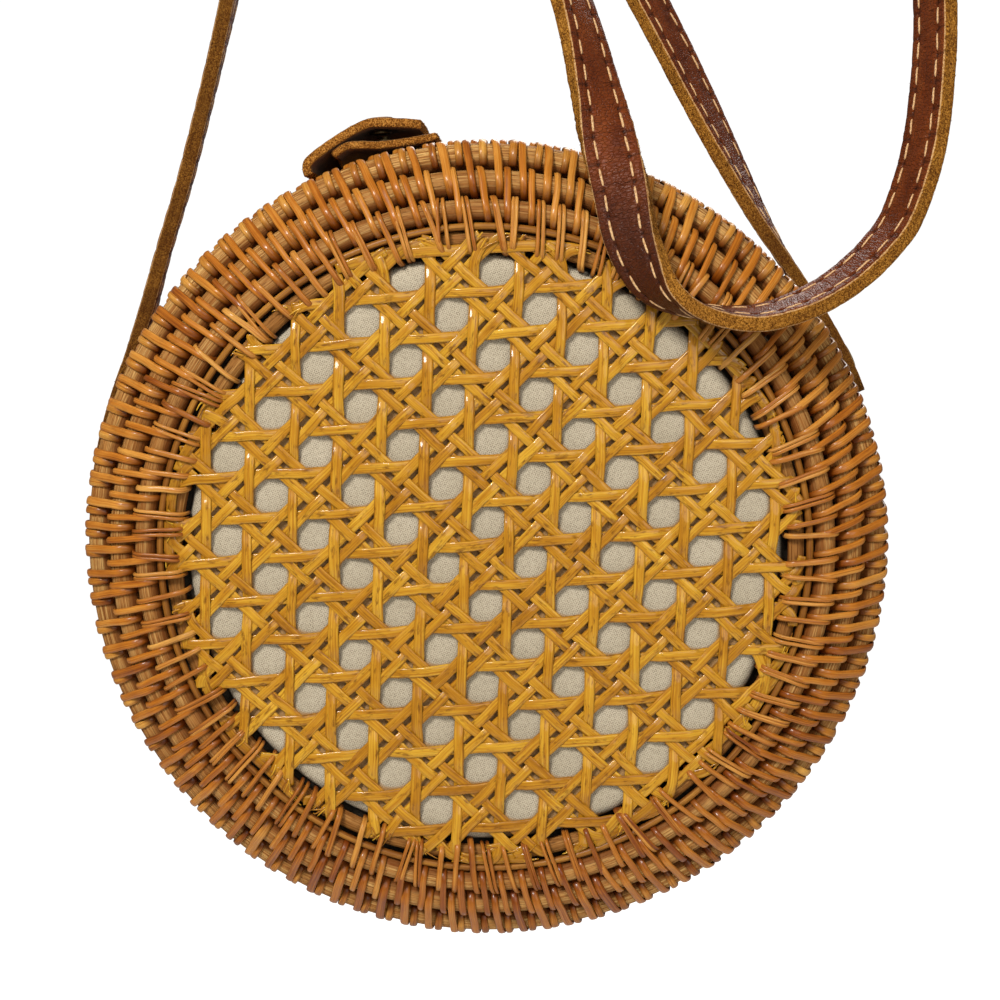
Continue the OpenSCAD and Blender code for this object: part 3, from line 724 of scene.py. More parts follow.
def hoop(h, s, rng, n=384, m=22, wave=0.05, flat=1.0, drift=0.0, out=(1.0, 0.0), thr=0.40, base_dark=0.0):
    start = rng.random() * 2 * np.pi
    th = start + 2 * np.pi * np.arange(n) / n
    c = np.arange(n) / n
    r_var = sum(rng.normal(0, 1) * np.cos(2 * np.pi * k * c + rng.random() * 6.28) for k in (2, 3, 4, 5)) * drift
    P, rad, along = round_frame(th, h[0] + r_var, s * h[1])
    ph = np.pi + 2 * np.pi * np.arange(m) / m
    w = np.zeros((n, m))
    for k in (2, 3, 5, 9, 14, 23):
        for q in (1, 2, 3):
            w += np.sin(2 * np.pi * k * c[:, None] + q * ph[None] + rng.random() * 6.28) / 9
    r = h[2] - wave * (w - w.min()) / (np.ptp(w) + 1e-9) * 2
    pr = np.stack([r * np.cos(ph)[None] * flat, r * np.sin(ph)[None]], -1)
    B = np.zeros_like(rad)
    B[:, 1] = s
    # painted shade darkens the sides that face the neighbouring rods, and painted shade grows from the top of the rim
    # towards its sides, easing off again near the bottom, over an even darkening that is larger on rods 2 and 3, with
    # random variation along each rod
    side = np.cos(ph) * out[0] + np.sin(ph) * out[1]
    low = np.clip((thr - side) / 0.26, 0, 1)[None] * np.ones((n, 1))
    a = np.abs(np.mod(np.degrees(th) + 180, 360) - 180)
    darkening = base_dark + (0.34 - base_dark) * np.clip((a - 35) / 55, 0, 1) - 0.16 * np.clip((a - 115) / 35, 0, 1) + 0.10 * sum(np.sin(2 * np.pi * k * c + rng.random() * 6.28) for k in (5, 11, 17)) / 2
    dark = np.maximum(low, np.clip(darkening, 0, 1)[:, None])
    return tubes(P, rad, B, pr, closed=True, tone=rng.random(), dark=dark[None])


for label, s in SIDES:
    rng = np.random.default_rng(21 if s < 0 else 22)
    for i, h, out in ((1, H1, (0.86, 0.5)), (2, H2, (0.82, 0.57)), (3, H3, (0.80, 0.60)), (4, H4, (1, 0)), (5, H5, (1, 0)), (6, H6, (1, 0))):
        build(f"{label}_rod_{i}", [hoop(h, s, rng, out=out, base_dark={1: 0.04, 2: 0.24, 3: 0.46}.get(i, 0.0))], [rod_mat], f"{label}_shell", (f"{label}_hoop_{i}",))
    build(f"{label}_split_ring", [hoop(HT, s, rng, 384, 12, 0.02, out=(0.4, 0.9), thr=0.3)], [thin_mat], f"{label}_shell", (f"{label}_thin_hoop",))
    build(f"{label}_binder_rod", [hoop(HB, s, rng, 384, 14, 0.04, 1.4, 0.35, (0.0, 1.0), 0.3)], [binder_mat], f"{label}_shell", (f"{label}_binder_hoop",))

# ---------------------------------------------------------------- lashing
TURNS = 98
STEP = 360.0 / TURNS


def wrap(hp, hq, off, a0=125, a1=125, step=6):
    """Path in the (radius, depth) plane round the outside of two rods."""
    cp, cq = np.array(hp[:2]), np.array(hq[:2])
    rp, rq = hp[2] + off, hq[2] + off
    L = np.linalg.norm(cq - cp)
    d = (cq - cp) / L
    n0 = np.array([d[1], -d[0]])
    k = (rp - rq) / L
    n = d * k + n0 * math.sqrt(1 - k * k)
    t = np.array([-n[1], n[0]])
    out = []
    for a in np.radians(np.arange(a0, -0.1, -step)):
        out.append(cp + rp * (n * math.cos(a) - t * math.sin(a)))
    for a in np.radians(np.arange(0, a1 + 0.1, step)):
        out.append(cq + rq * (n * math.cos(a) + t * math.sin(a)))
    return np.array(out)


D_SEC = np.array([(-0.38, -0.5), (0.38, -0.5), (0.5, -0.20), (0.495, 0.10), (0.42, 0.32), (0.23, 0.45), (0.0, 0.5), (-0.23, 0.45), (-0.42, 0.32), (-0.495, 0.10), (-0.5, -0.20)])


def lash(path, s, theta0, drift, width, height, rng, K=30, wander=0.12, spread=None, fade=(0.70, 0.16)):
    """Strands on one path; theta0 and drift are in degrees, one per strand."""
    n = len(theta0)
    q, x = even(path, K)
    for _ in range(2):
        q[1:-1] = (q[:-2] + 2 * q[1:-1] + q[2:]) / 4
    L = x[-1]
    fr = x / L
    f = np.broadcast_to(fr[None], (n, K))
    lat = wander * waves(rng, n, x, 26.0, 3)
    th = np.radians(theta0[:, None] + drift[:, None] * f) + lat / 90.0
    if spread is not None:
        th = th + spread[:, None] / q[None, :, 0]
    lift = rng.normal(0, 0.035, (n, 1))
    tq = unit(np.gradient(q, axis=0))
    nq = np.stack([tq[:, 1], -tq[:, 0]], -1)
    R = q[None, :, 0] + nq[None, :, 0] * lift
    Y = q[None, :, 1] + nq[None, :, 1] * lift
    st, ct = np.sin(th), np.cos(th)
    P = np.stack([R * st, s * Y, R * ct], -1)
    T = unit(np.gradient(P, axis=1))
    B = np.stack([nq[None, :, 0] * st, np.broadcast_to(s * nq[None, :, 1], st.shape), nq[None, :, 0] * ct], -1)
    B = unit(B - T * (B * T).sum(-1, keepdims=True))
    A = np.cross(B, T)
    roll = rng.normal(0, 0.10, (n, 1, 1))
    A, B = A * np.cos(roll) + B * np.sin(roll), B * np.cos(roll) - A * np.sin(roll)
    w = width[:, None] * (1 + 0.04 * waves(rng, n, x, 18.0, 2))
    h = height * (1 + 0.03 * waves(rng, n, x, 15.0, 2))
    pr = D_SEC[None, None] * np.stack([w, h], -1)[:, :, None, :]
    # painted shade darkens the strands towards their ends, where they dive under the rods, and along their undersides
    # against the rods
    end = np.maximum(np.clip((0.16 - f) / 0.12, 0, 1), np.clip((f - fade[0]) / fade[1], 0, 1))[:, :, None]
    end = np.maximum(end, (0.9 * np.clip((0.12 - D_SEC[:, 1]) / 0.5, 0, 1))[None, None])
    # painted light and shade: the tone is lighter at the top of the rim and darker towards its bottom
    low = np.clip((-np.cos(np.radians(theta0)) - 0.45) / 0.4, 0, 1)
    return tubes(P, A, B, pr, tone=np.clip(0.485 + 0.055 * np.cos(np.radians(theta0)) - 0.11 * low + rng.normal(0, 0.14, n), 0, 1), dark=end)


def lean(theta):
    """How far (degrees) a turn leans clockwise on its way inwards, by place on the rim."""
    a = np.mod(theta, 360)
    return np.interp(a, [0, 45, 85, 130, 180, 205, 235, 270, 300, 360], [1.7, 2.0, 2.9, 2.1, 1.5, 1.1, 0.9, 1.2, 1.5, 1.7])


def turn_angles(rng):
    k = np.arange(TURNS)
    a = k * STEP + 0.45 * np.sin(2 * np.pi * k / TURNS * 3 + rng.random() * 6) + 0.3 * np.sin(2 * np.pi * k / TURNS * 7 + rng.random() * 6)
    return a + rng.normal(0, 0.16, TURNS)


EXTRA = 0.08
for label, s in SIDES:
    rng = np.random.default_rng(31 if s < 0 else 32)
    base = turn_angles(rng)
    sets = {}
    jit = lambda k: rng.normal(0, k, TURNS)
    dA = lean(base) + jit(0.22)
    hA = 0.98
    body = f"{label}_shell"
    # start angles, from the outside in: side sets, the pale outer set, then the three glossy ones
    a_mid = base + dA * 0.52
    for nm, hp, hq, th, dr, w, hgt, mat in (
        ("side_a", H6, H5, base - 3.35 + jit(0.15), jit(0.2) + 0.2, 1.85, 0.88, pale_mat),
        ("side_b", H5, H4, base - 2.25 + jit(0.15), jit(0.2) + 0.2, 1.85, 0.88, lash_mat),
        ("outer", H4, H1, base - 1.16 + jit(0.10), jit(0.15) + 0.55, 1.80, 0.88, pale_mat),
        ("first", H1, H2, base, dA, 2.0, hA, lash_mat),
        ("second", H2, H3, a_mid + 1.06 + jit(0.12), lean(base + 3) * 1.05 + jit(0.3), 1.60, 0.90, lash_mat),
    ):
        path = wrap(hp, hq, hgt / 2 + EXTRA)
        width = w * (1 + rng.normal(0, 0.06, TURNS))
        p = lash(path, s, th, dr, width, hgt, rng, fade=(0.86, 0.10) if nm == "outer" else (0.72, 0.18))
        sets[nm] = (th, dr)
        reps = (f"{label}_lashing",)
        build(f"{label}_lashing_{nm}", [p], [mat], body, reps)
    # the innermost set runs over rod 3, the thin ring and the cut ends of the webbing
    thB, drB = sets["second"]
    thC = thB + drB * 0.52 + 1.10 + jit(0.25)
    drC = np.clip(rng.normal(1.0, 1.05, TURNS), -0.8, 3.4)
    double = rng.random(TURNS) < 0.5
    parts = []
    deep = rng.uniform(0, 1.4, TURNS)
    for k in range(TURNS):
        reach = deep[k]
        p = wrap(H3, HT, 0.55, 118, 6)
        tail = np.array([(77.5, 39.35), (76.0 - 0.4 * reach, 39.55), (74.7 - reach, 39.15), (73.6 - reach, 37.6), (73.3 - reach, 35.6)])
        p = np.concatenate([p, tail])
        if double[k]:
            sp = np.array([-0.50, 0.50])
            parts.append(lash(p, s, np.full(2, thC[k]), drC[k] + rng.normal(0, 0.25, 2), np.full(2, 0.92), 0.78, rng, 34, 0.06, sp, (0.90, 0.08)))
        else:
            parts.append(lash(p, s, thC[k : k + 1], drC[k : k + 1], np.array([1.35 * (1 + rng.normal(0, 0.1))]), 0.85, rng, 34, fade=(0.90, 0.08)))
    build(f"{label}_lashing_inner", parts, [inner_mat], body, (f"{label}_lashing",))

# ---------------------------------------------------------------- cane webbing
EI, EJ = np.array([10.6, -0.458]), np.array([-1.483, -10.07])
ORIGIN = np.array([2.0, 7.7])
MID_Y = 38.36
HIGH, KNIT = 0.50, 0.27


def lattice(i, j):
    return ORIGIN + np.multiply.outer(i, EI) + np.multiply.outer(j, EJ)


def squeeze(r):
    """Radius after the strands are bunched up against the rim."""
    return np.where(r > 74.5, 74.5 + 3.0 * (1 - np.exp(-(np.maximum(r, 74.5) - 74.5) / 3.0)), r)


CANE = np.array([(-0.45, -0.5), (0.45, -0.5), (0.5, -0.15), (0.475, 0.18), (0.32, 0.40), (0.0, 0.5), (-0.32, 0.40), (-0.475, 0.18), (-0.5, -0.15)])


def ribbon(xz, h, s, width, rng, tone, thick=0.45, dark=None):
    """One flat strand along xz (bag plane) at height h off the middle plane."""
    K = len(xz)
    P = np.stack([-s * xz[:, 0], s * (MID_Y + h), xz[:, 1]], -1)
    T = unit(np.gradient(P, axis=0))
    B = np.zeros_like(P)
    B[:, 1] = s
    B = unit(B - T * (B * T).sum(-1, keepdims=True))
    A = np.cross(B, T)
    pr = CANE[None] * np.stack([width, np.full(K, thick)], -1)[:, None, :]
    dk = np.zeros(K) if dark is None else dark
    # painted shade on each strand's underside and lower sides
    dk = np.maximum(dk[:, None], np.where(CANE[:, 1] < -0.3, 0.25, np.clip((0.3 - CANE[:, 1]) * 0.8, 0, 1))[None])
    return tubes(P, A, B, pr, tone=tone, dark=dk[None])


def cane_line(p0, direction, s, rng, height, nodes_at, width=2.45):
    """A strand through p0 along a lattice direction; height(t) by distance t from p0."""
    d = direction / np.linalg.norm(direction)
    nrm = np.array([-d[1], d[0]])
    t = np.arange(-95, 95.01, 0.72)
    lat = rng.normal(0, 0.10) + 0.22 * waves(rng, 1, t, 55.0, 3)[0] + 0.05 * waves(rng, 1, t, 9.0, 2)[0]
    q = p0 + np.outer(t, d) + np.outer(lat, nrm)
    r = np.linalg.norm(q, axis=1)
    c0, c1 = rng.uniform(75.6, 81.0, 2)
    ok = np.where(r < np.where(t < 0, c0, c1))[0]
    if len(ok) < 12:
        return []
    lo, hi = ok[0], ok[-1] + 1
    q, tt, r = q[lo:hi], t[lo:hi], r[lo:hi]
    # the ends splay sideways a little where the rim binds them
    bend = rng.normal(0, 1.5, 2)
    e0, e1 = np.clip((7 - (tt - tt[0])) / 7, 0, 1), np.clip((7 - (tt[-1] - tt)) / 7, 0, 1)
    q = q + np.outer(bend[0] * e0**2 + bend[1] * e1**2, nrm)
    r = np.linalg.norm(q, axis=1)
    q = q * (squeeze(r) / r)[:, None]
    rim = np.clip((r - 71) / 5, 0, 1)
    h = height(tt) * (1 - 0.45 * rim) + 0.05 * waves(rng, 1, tt, 14.0, 2)[0] * (1 - rim) + rng.normal(0, 0.10) * rim
    L = len(tt)
    w = width * (1 + rng.normal(0, 0.045)) * (1 + 0.025 * waves(rng, 1, tt, 22.0, 3)[0])
    taper = 1 - 0.22 * np.clip((1.5 - (tt - tt[0])) / 1.5, 0, 1) * rng.random() - 0.22 * np.clip((1.5 - (tt[-1] - tt)) / 1.5, 0, 1) * rng.random()
    dk = 0.55 * np.clip((np.linalg.norm(q, axis=1) - 72.5) / 4, 0, 1) * rng.random()
    tone = float(np.clip(rng.normal(0.5, 0.075), 0, 1))
    out = [ribbon(q, h, s, w * taper, rng, tone, dark=dk)]
    # split fibres at some cut ends
    for end in (0, 1):
        if rng.random() < 0.5:
            base, dirn = (q[3], q[0] - q[6]) if end == 0 else (q[-4], q[-1] - q[-7])
            hb = h[3] if end == 0 else h[-4]
            dirn = dirn / np.linalg.norm(dirn)
            for _ in range(rng.integers(1, 4)):
                ang = rng.normal(0, 0.35)
                v = np.array([dirn[0] * math.cos(ang) - dirn[1] * math.sin(ang), dirn[0] * math.sin(ang) + dirn[1] * math.cos(ang)])
                u = np.linspace(0, 1, 8)
                ln = rng.uniform(2.5, 5.0)
                start = base + nrm * rng.uniform(-0.8, 0.8)
                pq = start + np.outer(u * ln, v) + np.outer(u**2 * rng.normal(0, 0.8), nrm)
                rr = np.linalg.norm(pq, axis=1)
                pq = pq * (np.minimum(rr, 77.4) / rr)[:, None]
                if np.linalg.norm(np.diff(pq, axis=0), axis=1).min() < 0.05:
                    continue
                out.append(ribbon(pq, hb + 0.18 + u * rng.uniform(0.0, 0.35), s, 0.5 * (1 - 0.6 * u), rng, float(rng.random()), 0.22))
    return out


def node_height(t, sign, gap, at0):
    """Goes over and under at nodes a distance gap apart; the node at t=at0 has this sign."""
    x = (t - at0) / gap
    near = np.round(x)
    sg = np.where(np.mod(near, 2) == 0, sign, -sign)
    from_mid = (0.5 - np.abs(x - near)) * gap
    return HIGH * sg * np.clip(np.tanh(from_mid / 1.5) * 1.06, -1, 1)


def knit_height(t, gap, sign):
    """Dips under and over the two strands of the crossing pair at nodes a distance gap apart."""
    x = t - np.round(t / gap) * gap
    fade = 1 - np.clip((np.abs(x) - 3.0) / 2.2, 0, 1)
    return sign * KNIT * np.tanh(x / 0.9) * fade


for label, s in SIDES:
    rng = np.random.default_rng(41 if s < 0 else 42)
    gi, gj = np.linalg.norm(EI), np.linalg.norm(EJ)
    up, down = EI - EJ, EI + EJ
    gu, gd = np.linalg.norm(up), np.linalg.norm(down)
    vert, horiz, rise, fall = [], [], [], []
    for a in range(-10, 11):
        # vertical strand i = a + 1/2; node at j = 1/2 (b = 0) is high when a is even
        p0 = lattice(a + 0.5, 0.5)
        vert += cane_line(p0, EJ, s, rng, lambda t, a=a: node_height(t, 1 if a % 2 == 0 else -1, gj, 0.0), gj)
        p0 = lattice(0.5, a + 0.5)
        horiz += cane_line(p0, EI, s, rng, lambda t, a=a: node_height(t, -1 if a % 2 == 0 else 1, gi, 0.0), gi)
    for c in range(-21, 22, 2):
        i0 = (c + 1) // 2
        # lines i + j = c rise to the right; pass a knot at (i0, c - i0)
        p0 = lattice(float(i0), float(c - i0))
        dn = up / gu
        nn = np.array([-dn[1], dn[0]])
        for off, sg in ((1.8, 1), (-1.8, -1)):
            rise += cane_line(p0 + nn * off, up, s, rng, lambda t, sg=sg: knit_height(t, gu, sg), gu)
        p0 = lattice(float(i0), float(i0 - c))
        dn = down / gd
        nn = np.array([-dn[1], dn[0]])
        for off, sg in ((1.8, 1), (-1.8, -1)):
            fall += cane_line(p0 + nn * off, down, s, rng, lambda t, sg=sg: knit_height(t, gd, sg), gd)
    for nm, ps in (("upright", vert), ("across", horiz), ("rising", rise), ("falling", fall)):
        build(f"{label}_cane_{nm}", ps, [cane_mat], f"{label}_shell", (f"{label}_cane_panel",))

# ---------------------------------------------------------------- linen lining
linen_mat = linen("linen_lining")
for label, s in SIDES:
    rng = np.random.default_rng(51 if s < 0 else 52)
    n = 192
    th = 2 * np.pi * np.arange(n) / n
    # face: a slightly slack disc close behind the webbing, dropping back at its edge
    rr = np.concatenate([np.linspace(1.0, 69.4, 38), [70.4, 71.3, 71.9, 72.3, 72.7, 73.2, 74.2, 76.0, 79.0, 82.0, 84.0]])
    yy = np.interp(rr, [0, 69.4, 70.8, 71.7, 72.3, 72.9, 74.2, 76.0, 84.0], [37.1, 37.1, 36.7, 35.8, 34.4, 33.0, 31.9, 31.2, 30.4])
    phs = rng.random(6) * 6.28

    def slack(X, Z):
        f = 0.0
        for k in range(6):
            a = phs[k]
            f = f + np.sin((X * math.cos(a) + Z * math.sin(a)) * (0.05 + 0.03 * k) + phs[-k - 1]) / (1 + 0.5 * k)
        return f

    def disc(rad, depth, amp):
        X = rad[None] * np.sin(th)[:, None]
        Z = rad[None] * np.cos(th)[:, None]
        damp = np.clip((70 - rad) / 20, 0, 1)
        return np.stack([X, s * (depth[None] - amp * damp[None] * (1 + slack(X, Z) / 3) * 0.5), Z], -1)

    outer = disc(rr, yy, 0.5)
    inner = disc(rr, yy - 0.9, 0.5)
    grid = np.concatenate([outer, inner[:, ::-1]], 1)
    mm = grid.shape[1]
    idx = np.arange(n * mm).reshape(n, mm)
    nx = np.roll(idx, -1, 0)
    F = np.stack([idx[:, :-1], idx[:, 1:], nx[:, 1:], nx[:, :-1]], -1).reshape(-1, 4)
    # the two middles
    V = grid.reshape(-1, 3)
    V = np.concatenate([V, [[0, outer[0, 0, 1], 0]], [[0, inner[0, 0, 1], 0]]])
    c0, c1 = len(V) - 2, len(V) - 1
    T = np.concatenate([np.stack([np.full(n, c0), idx[:, 0], nx[:, 0]], -1), np.stack([np.full(n, c1), nx[:, -1], idx[:, -1]], -1)])
    flip = np.array([-s, 1.0])
    faces = outward(V, [(F, V[F][:, :, [0, 2]] * flip, np.zeros(len(F), int)), (T, V[T][:, :, [0, 2]] * flip, np.zeros(len(T), int))])
    # painted shade blackens the part that drops back behind the hoops
    far = np.hypot(V[:, 0], V[:, 2])
    front_side = np.zeros(len(V), bool)
    front_side[: n * mm] = np.tile(np.arange(mm) < len(rr), n)
    front_side[c0] = True
    recess_shade = np.clip((far - 71.9) / 0.8, 0, 1) * front_side
    ob = build(f"{label}_lining_face", [part(V, faces, front_side * 1.0, recess_shade)], [linen_mat], f"{label}_shell", (f"{label}_lining",))
    # side wall: a band from the face's edge to the mouth
    pts = np.array([(84.2, 30.0), (87.3, 27.3), (90.3, 24.4), (91.3, 21.8), (91.95, 19.0), (91.95, 14.0), (91.95, 9.0), (91.95, 4.0), (91.95, 0.2)])
    q, _ = even(catmull(pts, 60), 30)
    tq = unit(np.gradient(q, axis=0))
    nq = np.stack([tq[:, 1], -tq[:, 0]], -1)
    if nq[0, 0] > 0:
        nq = -nq
    band = np.concatenate([q, (q + nq * 0.75)[::-1]])
    n = 288
    th = 2 * np.pi * np.arange(n) / n
    P, rad, along = round_frame(th, np.zeros(n), 0.0)
    B = np.zeros_like(rad)
    B[:, 1] = s
    pr = np.repeat(band[None], n, 0)
    ripple = 0.16 * (1 + sum(np.sin(k * th * 1.0 + rng.random() * 6.28) for k in (19, 31, 43)) / 3)
    pr = pr.copy()
    pr[:, :, 0] -= ripple[:, None] * np.sin(np.linspace(0, np.pi, 30))[np.r_[0:30, 29:-1:-1]][None]
    pr[:, :, 0] = np.minimum(pr[:, :, 0], 91.98)
    p = tubes(P, rad, B, pr, closed=True, tone=0.0)
    F, UV, mi = p["faces"][0]
    UV = UV.copy()
    v = p["v"][F]
    ang = np.degrees(np.arctan2(v[:, :, 0], v[:, :, 2])) % 360
    ang = np.where(ang < ang.max(1, keepdims=True) - 180, ang + 360, ang)
    UV[:, :, 0] = np.radians(ang) * 91.0
    UV[:, :, 1] = np.abs(v[:, :, 1])
    p["faces"][0] = (F, UV, mi)
    ob = build(f"{label}_lining_wall", [p], [linen_mat], f"{label}_shell", (f"{label}_lining",))

# ---------------------------------------------------------------- closure tab and flap
SKIN = 100.48
TAB_A = math.radians(-9.5)


def from_closure(v):
    """From the closure's own frame (its middle straight up) to the bag's frame."""
    c, s_ = math.cos(TAB_A), math.sin(TAB_A)
    x, y, z = v[..., 0], v[..., 1], v[..., 2]
    return np.stack([x * c + z * s_, y, -x * s_ + z * c], -1)


def ring_pts(r, angs):
    a = np.radians(angs)
    return np.stack([r * np.sin(a), r * np.cos(a)], -1)


def leather_sheet(name, up, dn, th, ya, yb, y0, y1, rng, mats, body, reps, n=72, rows=56, across=7):
    """A leather sheet whose free end has the outline up and whose sewn end lies on the rim."""
    U, _ = even(catmull(up, 400), n)
    Dn, _ = even(catmull(dn, 400), n)
    ys = np.linspace(y0, y1, rows)
    loops_, tags = [], None
    for j, y in enumerate(ys):
        x = np.clip((y - ya) / (yb - ya), 0, 1)
        w = x * x * (3 - 2 * x)
        m = U * (1 - w) + Dn * w
        t = unit(np.gradient(m, axis=0))
        nn = np.stack([-t[:, 1], t[:, 0]], -1)
        edge = min(y - y0, y1 - y)
        k = 1 - 0.14 * math.exp(-((edge / 0.35) ** 2))
        o = m + nn * (th / 2 * k) * (1 + 0.02 * np.sin(np.arange(n) * 0.9 + y))[:, None]
        i = m - nn * (th / 2 * k)
        ca = np.linspace(1, -1, across)[1:-1]
        bulge = 0.25 * np.sqrt(1 - ca**2)
        e1 = m[-1] + np.outer(ca, nn[-1]) * th / 2 * k + np.outer(bulge, t[-1])
        e0 = m[0] + np.outer(-ca, nn[0]) * th / 2 * k - np.outer(bulge, t[0])
        loop = np.concatenate([o, e1, i[::-1], e0])
        loops_.append(np.stack([loop[:, 0], np.full(len(loop), y), loop[:, 1]], -1))
    G = np.array(loops_)
    c = G.shape[1]
    ne = across - 2
    is_e = np.zeros(c, bool)
    is_e[n : n + ne] = True
    is_e[2 * n + ne :] = True
    G[:, is_e] += rng.normal(0, 0.08, (rows, is_e.sum(), 3))
    idx = np.arange(rows * c).reshape(rows, c)
    F = np.stack([idx[:-1], np.roll(idx[:-1], -1, 1), np.roll(idx[1:], -1, 1), idx[1:]], -1)
    mi = np.zeros(c, int)
    mi[n - 1 : n + ne] = 1
    mi[n + ne : 2 * n + ne - 1] = 2
    mi[2 * n + ne - 1 :] = 1
    mi = np.broadcast_to(mi, (rows - 1, c)).reshape(-1)
    F = F.reshape(-1, 4)
    V = [G.reshape(-1, 3)]
    Fs = [F]
    ms = [mi]
    count = rows * c
    # raw ends, a small grid across the thickness
    for j, sgn in ((0, -1), (rows - 1, 1)):
        o_i, i_i = idx[j, :n], idx[j, n + ne : 2 * n + ne][::-1]
        po, pi = G[j, :n], G[j, n + ne : 2 * n + ne][::-1]
        mids = []
        for a in np.linspace(0, 1, across)[1:-1]:
            row_ = po * (1 - a) + pi * a
            row_[:, 1] += sgn * 0.22 * math.sin(a * math.pi) + rng.normal(0, 0.10, n)
            mids.append(row_)
        V.append(np.concatenate(mids))
        lines = [o_i] + [count + q * n + np.arange(n) for q in range(ne)] + [i_i]
        count += ne * n
        Ls = np.array(lines)
        f = np.stack([Ls[:-1, :-1], Ls[:-1, 1:], Ls[1:, 1:], Ls[1:, :-1]], -1).reshape(-1, 4)
        if sgn < 0:
            f = f[:, ::-1]
        # join the grid's two ends to the rounded long edges
        e1 = idx[j, n : n + ne]
        e0 = idx[j, 2 * n + ne :][::-1]
        right = np.concatenate([[o_i[-1]], e1, [i_i[-1]]])
        left = np.concatenate([[o_i[0]], e0, [i_i[0]]])
        gr, gl = Ls[:, -1], Ls[:, 0]
        fr = [[gr[q], right[q], right[q + 1], gr[q + 1]] for q in range(1, ne)]
        fl = [[left[q], gl[q], gl[q + 1], left[q + 1]] for q in range(1, ne)]
        tri = [[gr[0], right[1], gr[1]], [gr[ne], right[ne], gr[ne + 1]], [gl[0], gl[1], left[1]], [gl[ne + 1], left[ne], gl[ne]]]
        f4 = np.array(fr + fl)
        t3 = np.array(tri)
        if sgn < 0:
            f4, t3 = f4[:, ::-1], t3[:, ::-1]
        Fs += [f, f4]
        ms += [np.ones(len(f), int), np.ones(len(f4), int)]
        Fs.append(t3)
        ms.append(np.ones(len(t3), int))
    V = np.concatenate(V)
    faces = []
    for f, m in zip(Fs, ms):
        faces.append((f, V[f][:, :, [0, 1]], m))
    faces = outward(V, faces)
    Vb = from_closure(V)
    pt = part(Vb, faces, 0.5)
    # fibres on the raw edges
    fz = []
    for j, sgn in ((0, -1), (rows - 1, 1)):
        k = 1500
        a = rng.random(k)
        q = rng.integers(0, n, k)
        src = G[j, :n][q] * (1 - a)[:, None] + G[j, n + ne : 2 * n + ne][::-1][q] * a[:, None]
        src[:, 1] += sgn * 0.1
        nr = np.tile([0.0, sgn, 0.0], (k, 1))
        al = np.tile([1.0, 0.0, 0.0], (k, 1))
        fz.append(fuzz(from_closure(src), nr, al, 0.42, 0.08, rng, 1))
    rim = G[:, is_e]
    k = 700
    a, b = rng.integers(0, rows, k), rng.integers(0, rim.shape[1], k)
    cen = G.mean(1)[a]
    nr = unit(rim[a, b] - cen)
    nr[:, 1] = 0
    fz.append(fuzz(from_closure(rim[a, b]), from_closure(nr) - from_closure(np.zeros((k, 3))), np.tile([0.0, 1.0, 0.0], (k, 1)), 0.35, 0.08, rng, 1))
    return build(name, [pt] + fz, mats, body, reps)


rng = np.random.default_rng(61)
leather_sheet(
    "closure_tab_leather",
    [[-9.5, 103.5], [-6.0, 104.6], [-2.2, 103.9], [1.2, 102.8], [4.4, 102.2], [9.0, 101.5], [16.0, 100.8]],
    ring_pts(SKIN + 0.15 + 1.0, [-5.4, -3.4, -1.3, 0.7, 2.5, 5.2, 9.1]),
    2.0, -8, -2, -17.5, -1.2, rng, [tab_mat, flap_edge_mat, suede_mat], "front_shell", ("front_closure_tab",),
)
leather_sheet(
    "closure_flap_leather",
    [[-17.0, 100.6], [-17.0, 102.2], [-15.8, 103.8], [-11.4, 105.6], [-5.0, 107.5], [0, 108.4], [3.5, 107.9], [9.0, 106.2], [11.2, 105.4], [13.1, 104.6]],
    ring_pts(SKIN + 0.5 + 1.2, [-11.0, -10.2, -9.2, -6.4, -2.8, 0, 2.0, 5.1, 6.9, 7.6]),
    2.4, 3, 15, -17.5, 17.0, rng, [tab_mat, flap_edge_mat, suede_mat], "flap_body", ("closure_flap",),
)


def slab(a0, a1, r0, r1, y0, y1, rng, na=44, ny=24, round_=0.35):
    """A curved leather slab between two rim angles (degrees clockwise from the top)."""
    half = (y1 - y0) / 2
    t = (r1 - r0) / 2
    ys = np.linspace(-1, 1, ny)
    sec_ = []
    for y in ys:
        sec_.append((y * half, t * (1 - round_ * abs(y) ** 10)))
    for a in (0.6, 0.0, -0.6):
        sec_.append((half + 0.12 * math.cos(a * 1.5), t * a * 0.9))
    for y in ys[::-1]:
        sec_.append((y * half, -t * (1 - round_ * abs(y) ** 10)))
    for a in (-0.6, 0.0, 0.6):
        sec_.append((-half - 0.12 * math.cos(a * 1.5), t * a * 0.9))
    sec_ = np.array(sec_)
    sec_[:, 0] -= 0.0
    f = np.linspace(0, 1, na)
    f = np.concatenate([[0.0], [0.006], f[1:-1], [0.994], [1.0]])
    th = np.radians(a0 + (a1 - a0) * f)
    P, rad, along = round_frame(th, np.full(len(th), (r0 + r1) / 2), (y0 + y1) / 2)
    A = np.zeros_like(rad)
    A[:, 1] = 1
    k = np.ones(len(th))
    k[0] = k[-1] = 0.72
    kw = np.ones(len(th))
    kw[0] = kw[-1] = 0.97
    pr = sec_[None] * np.stack([kw, k], -1)[:, None, :]
    mi = np.zeros(len(sec_), int)
    mi[ny - 1 : ny + 3] = 1
    mi[2 * ny + 2 :] = 1
    mi[ny + 3 : 2 * ny + 2] = 2
    return tubes(P, A, rad, pr, mat=mi, cap_mat=1, tone=rng.random())


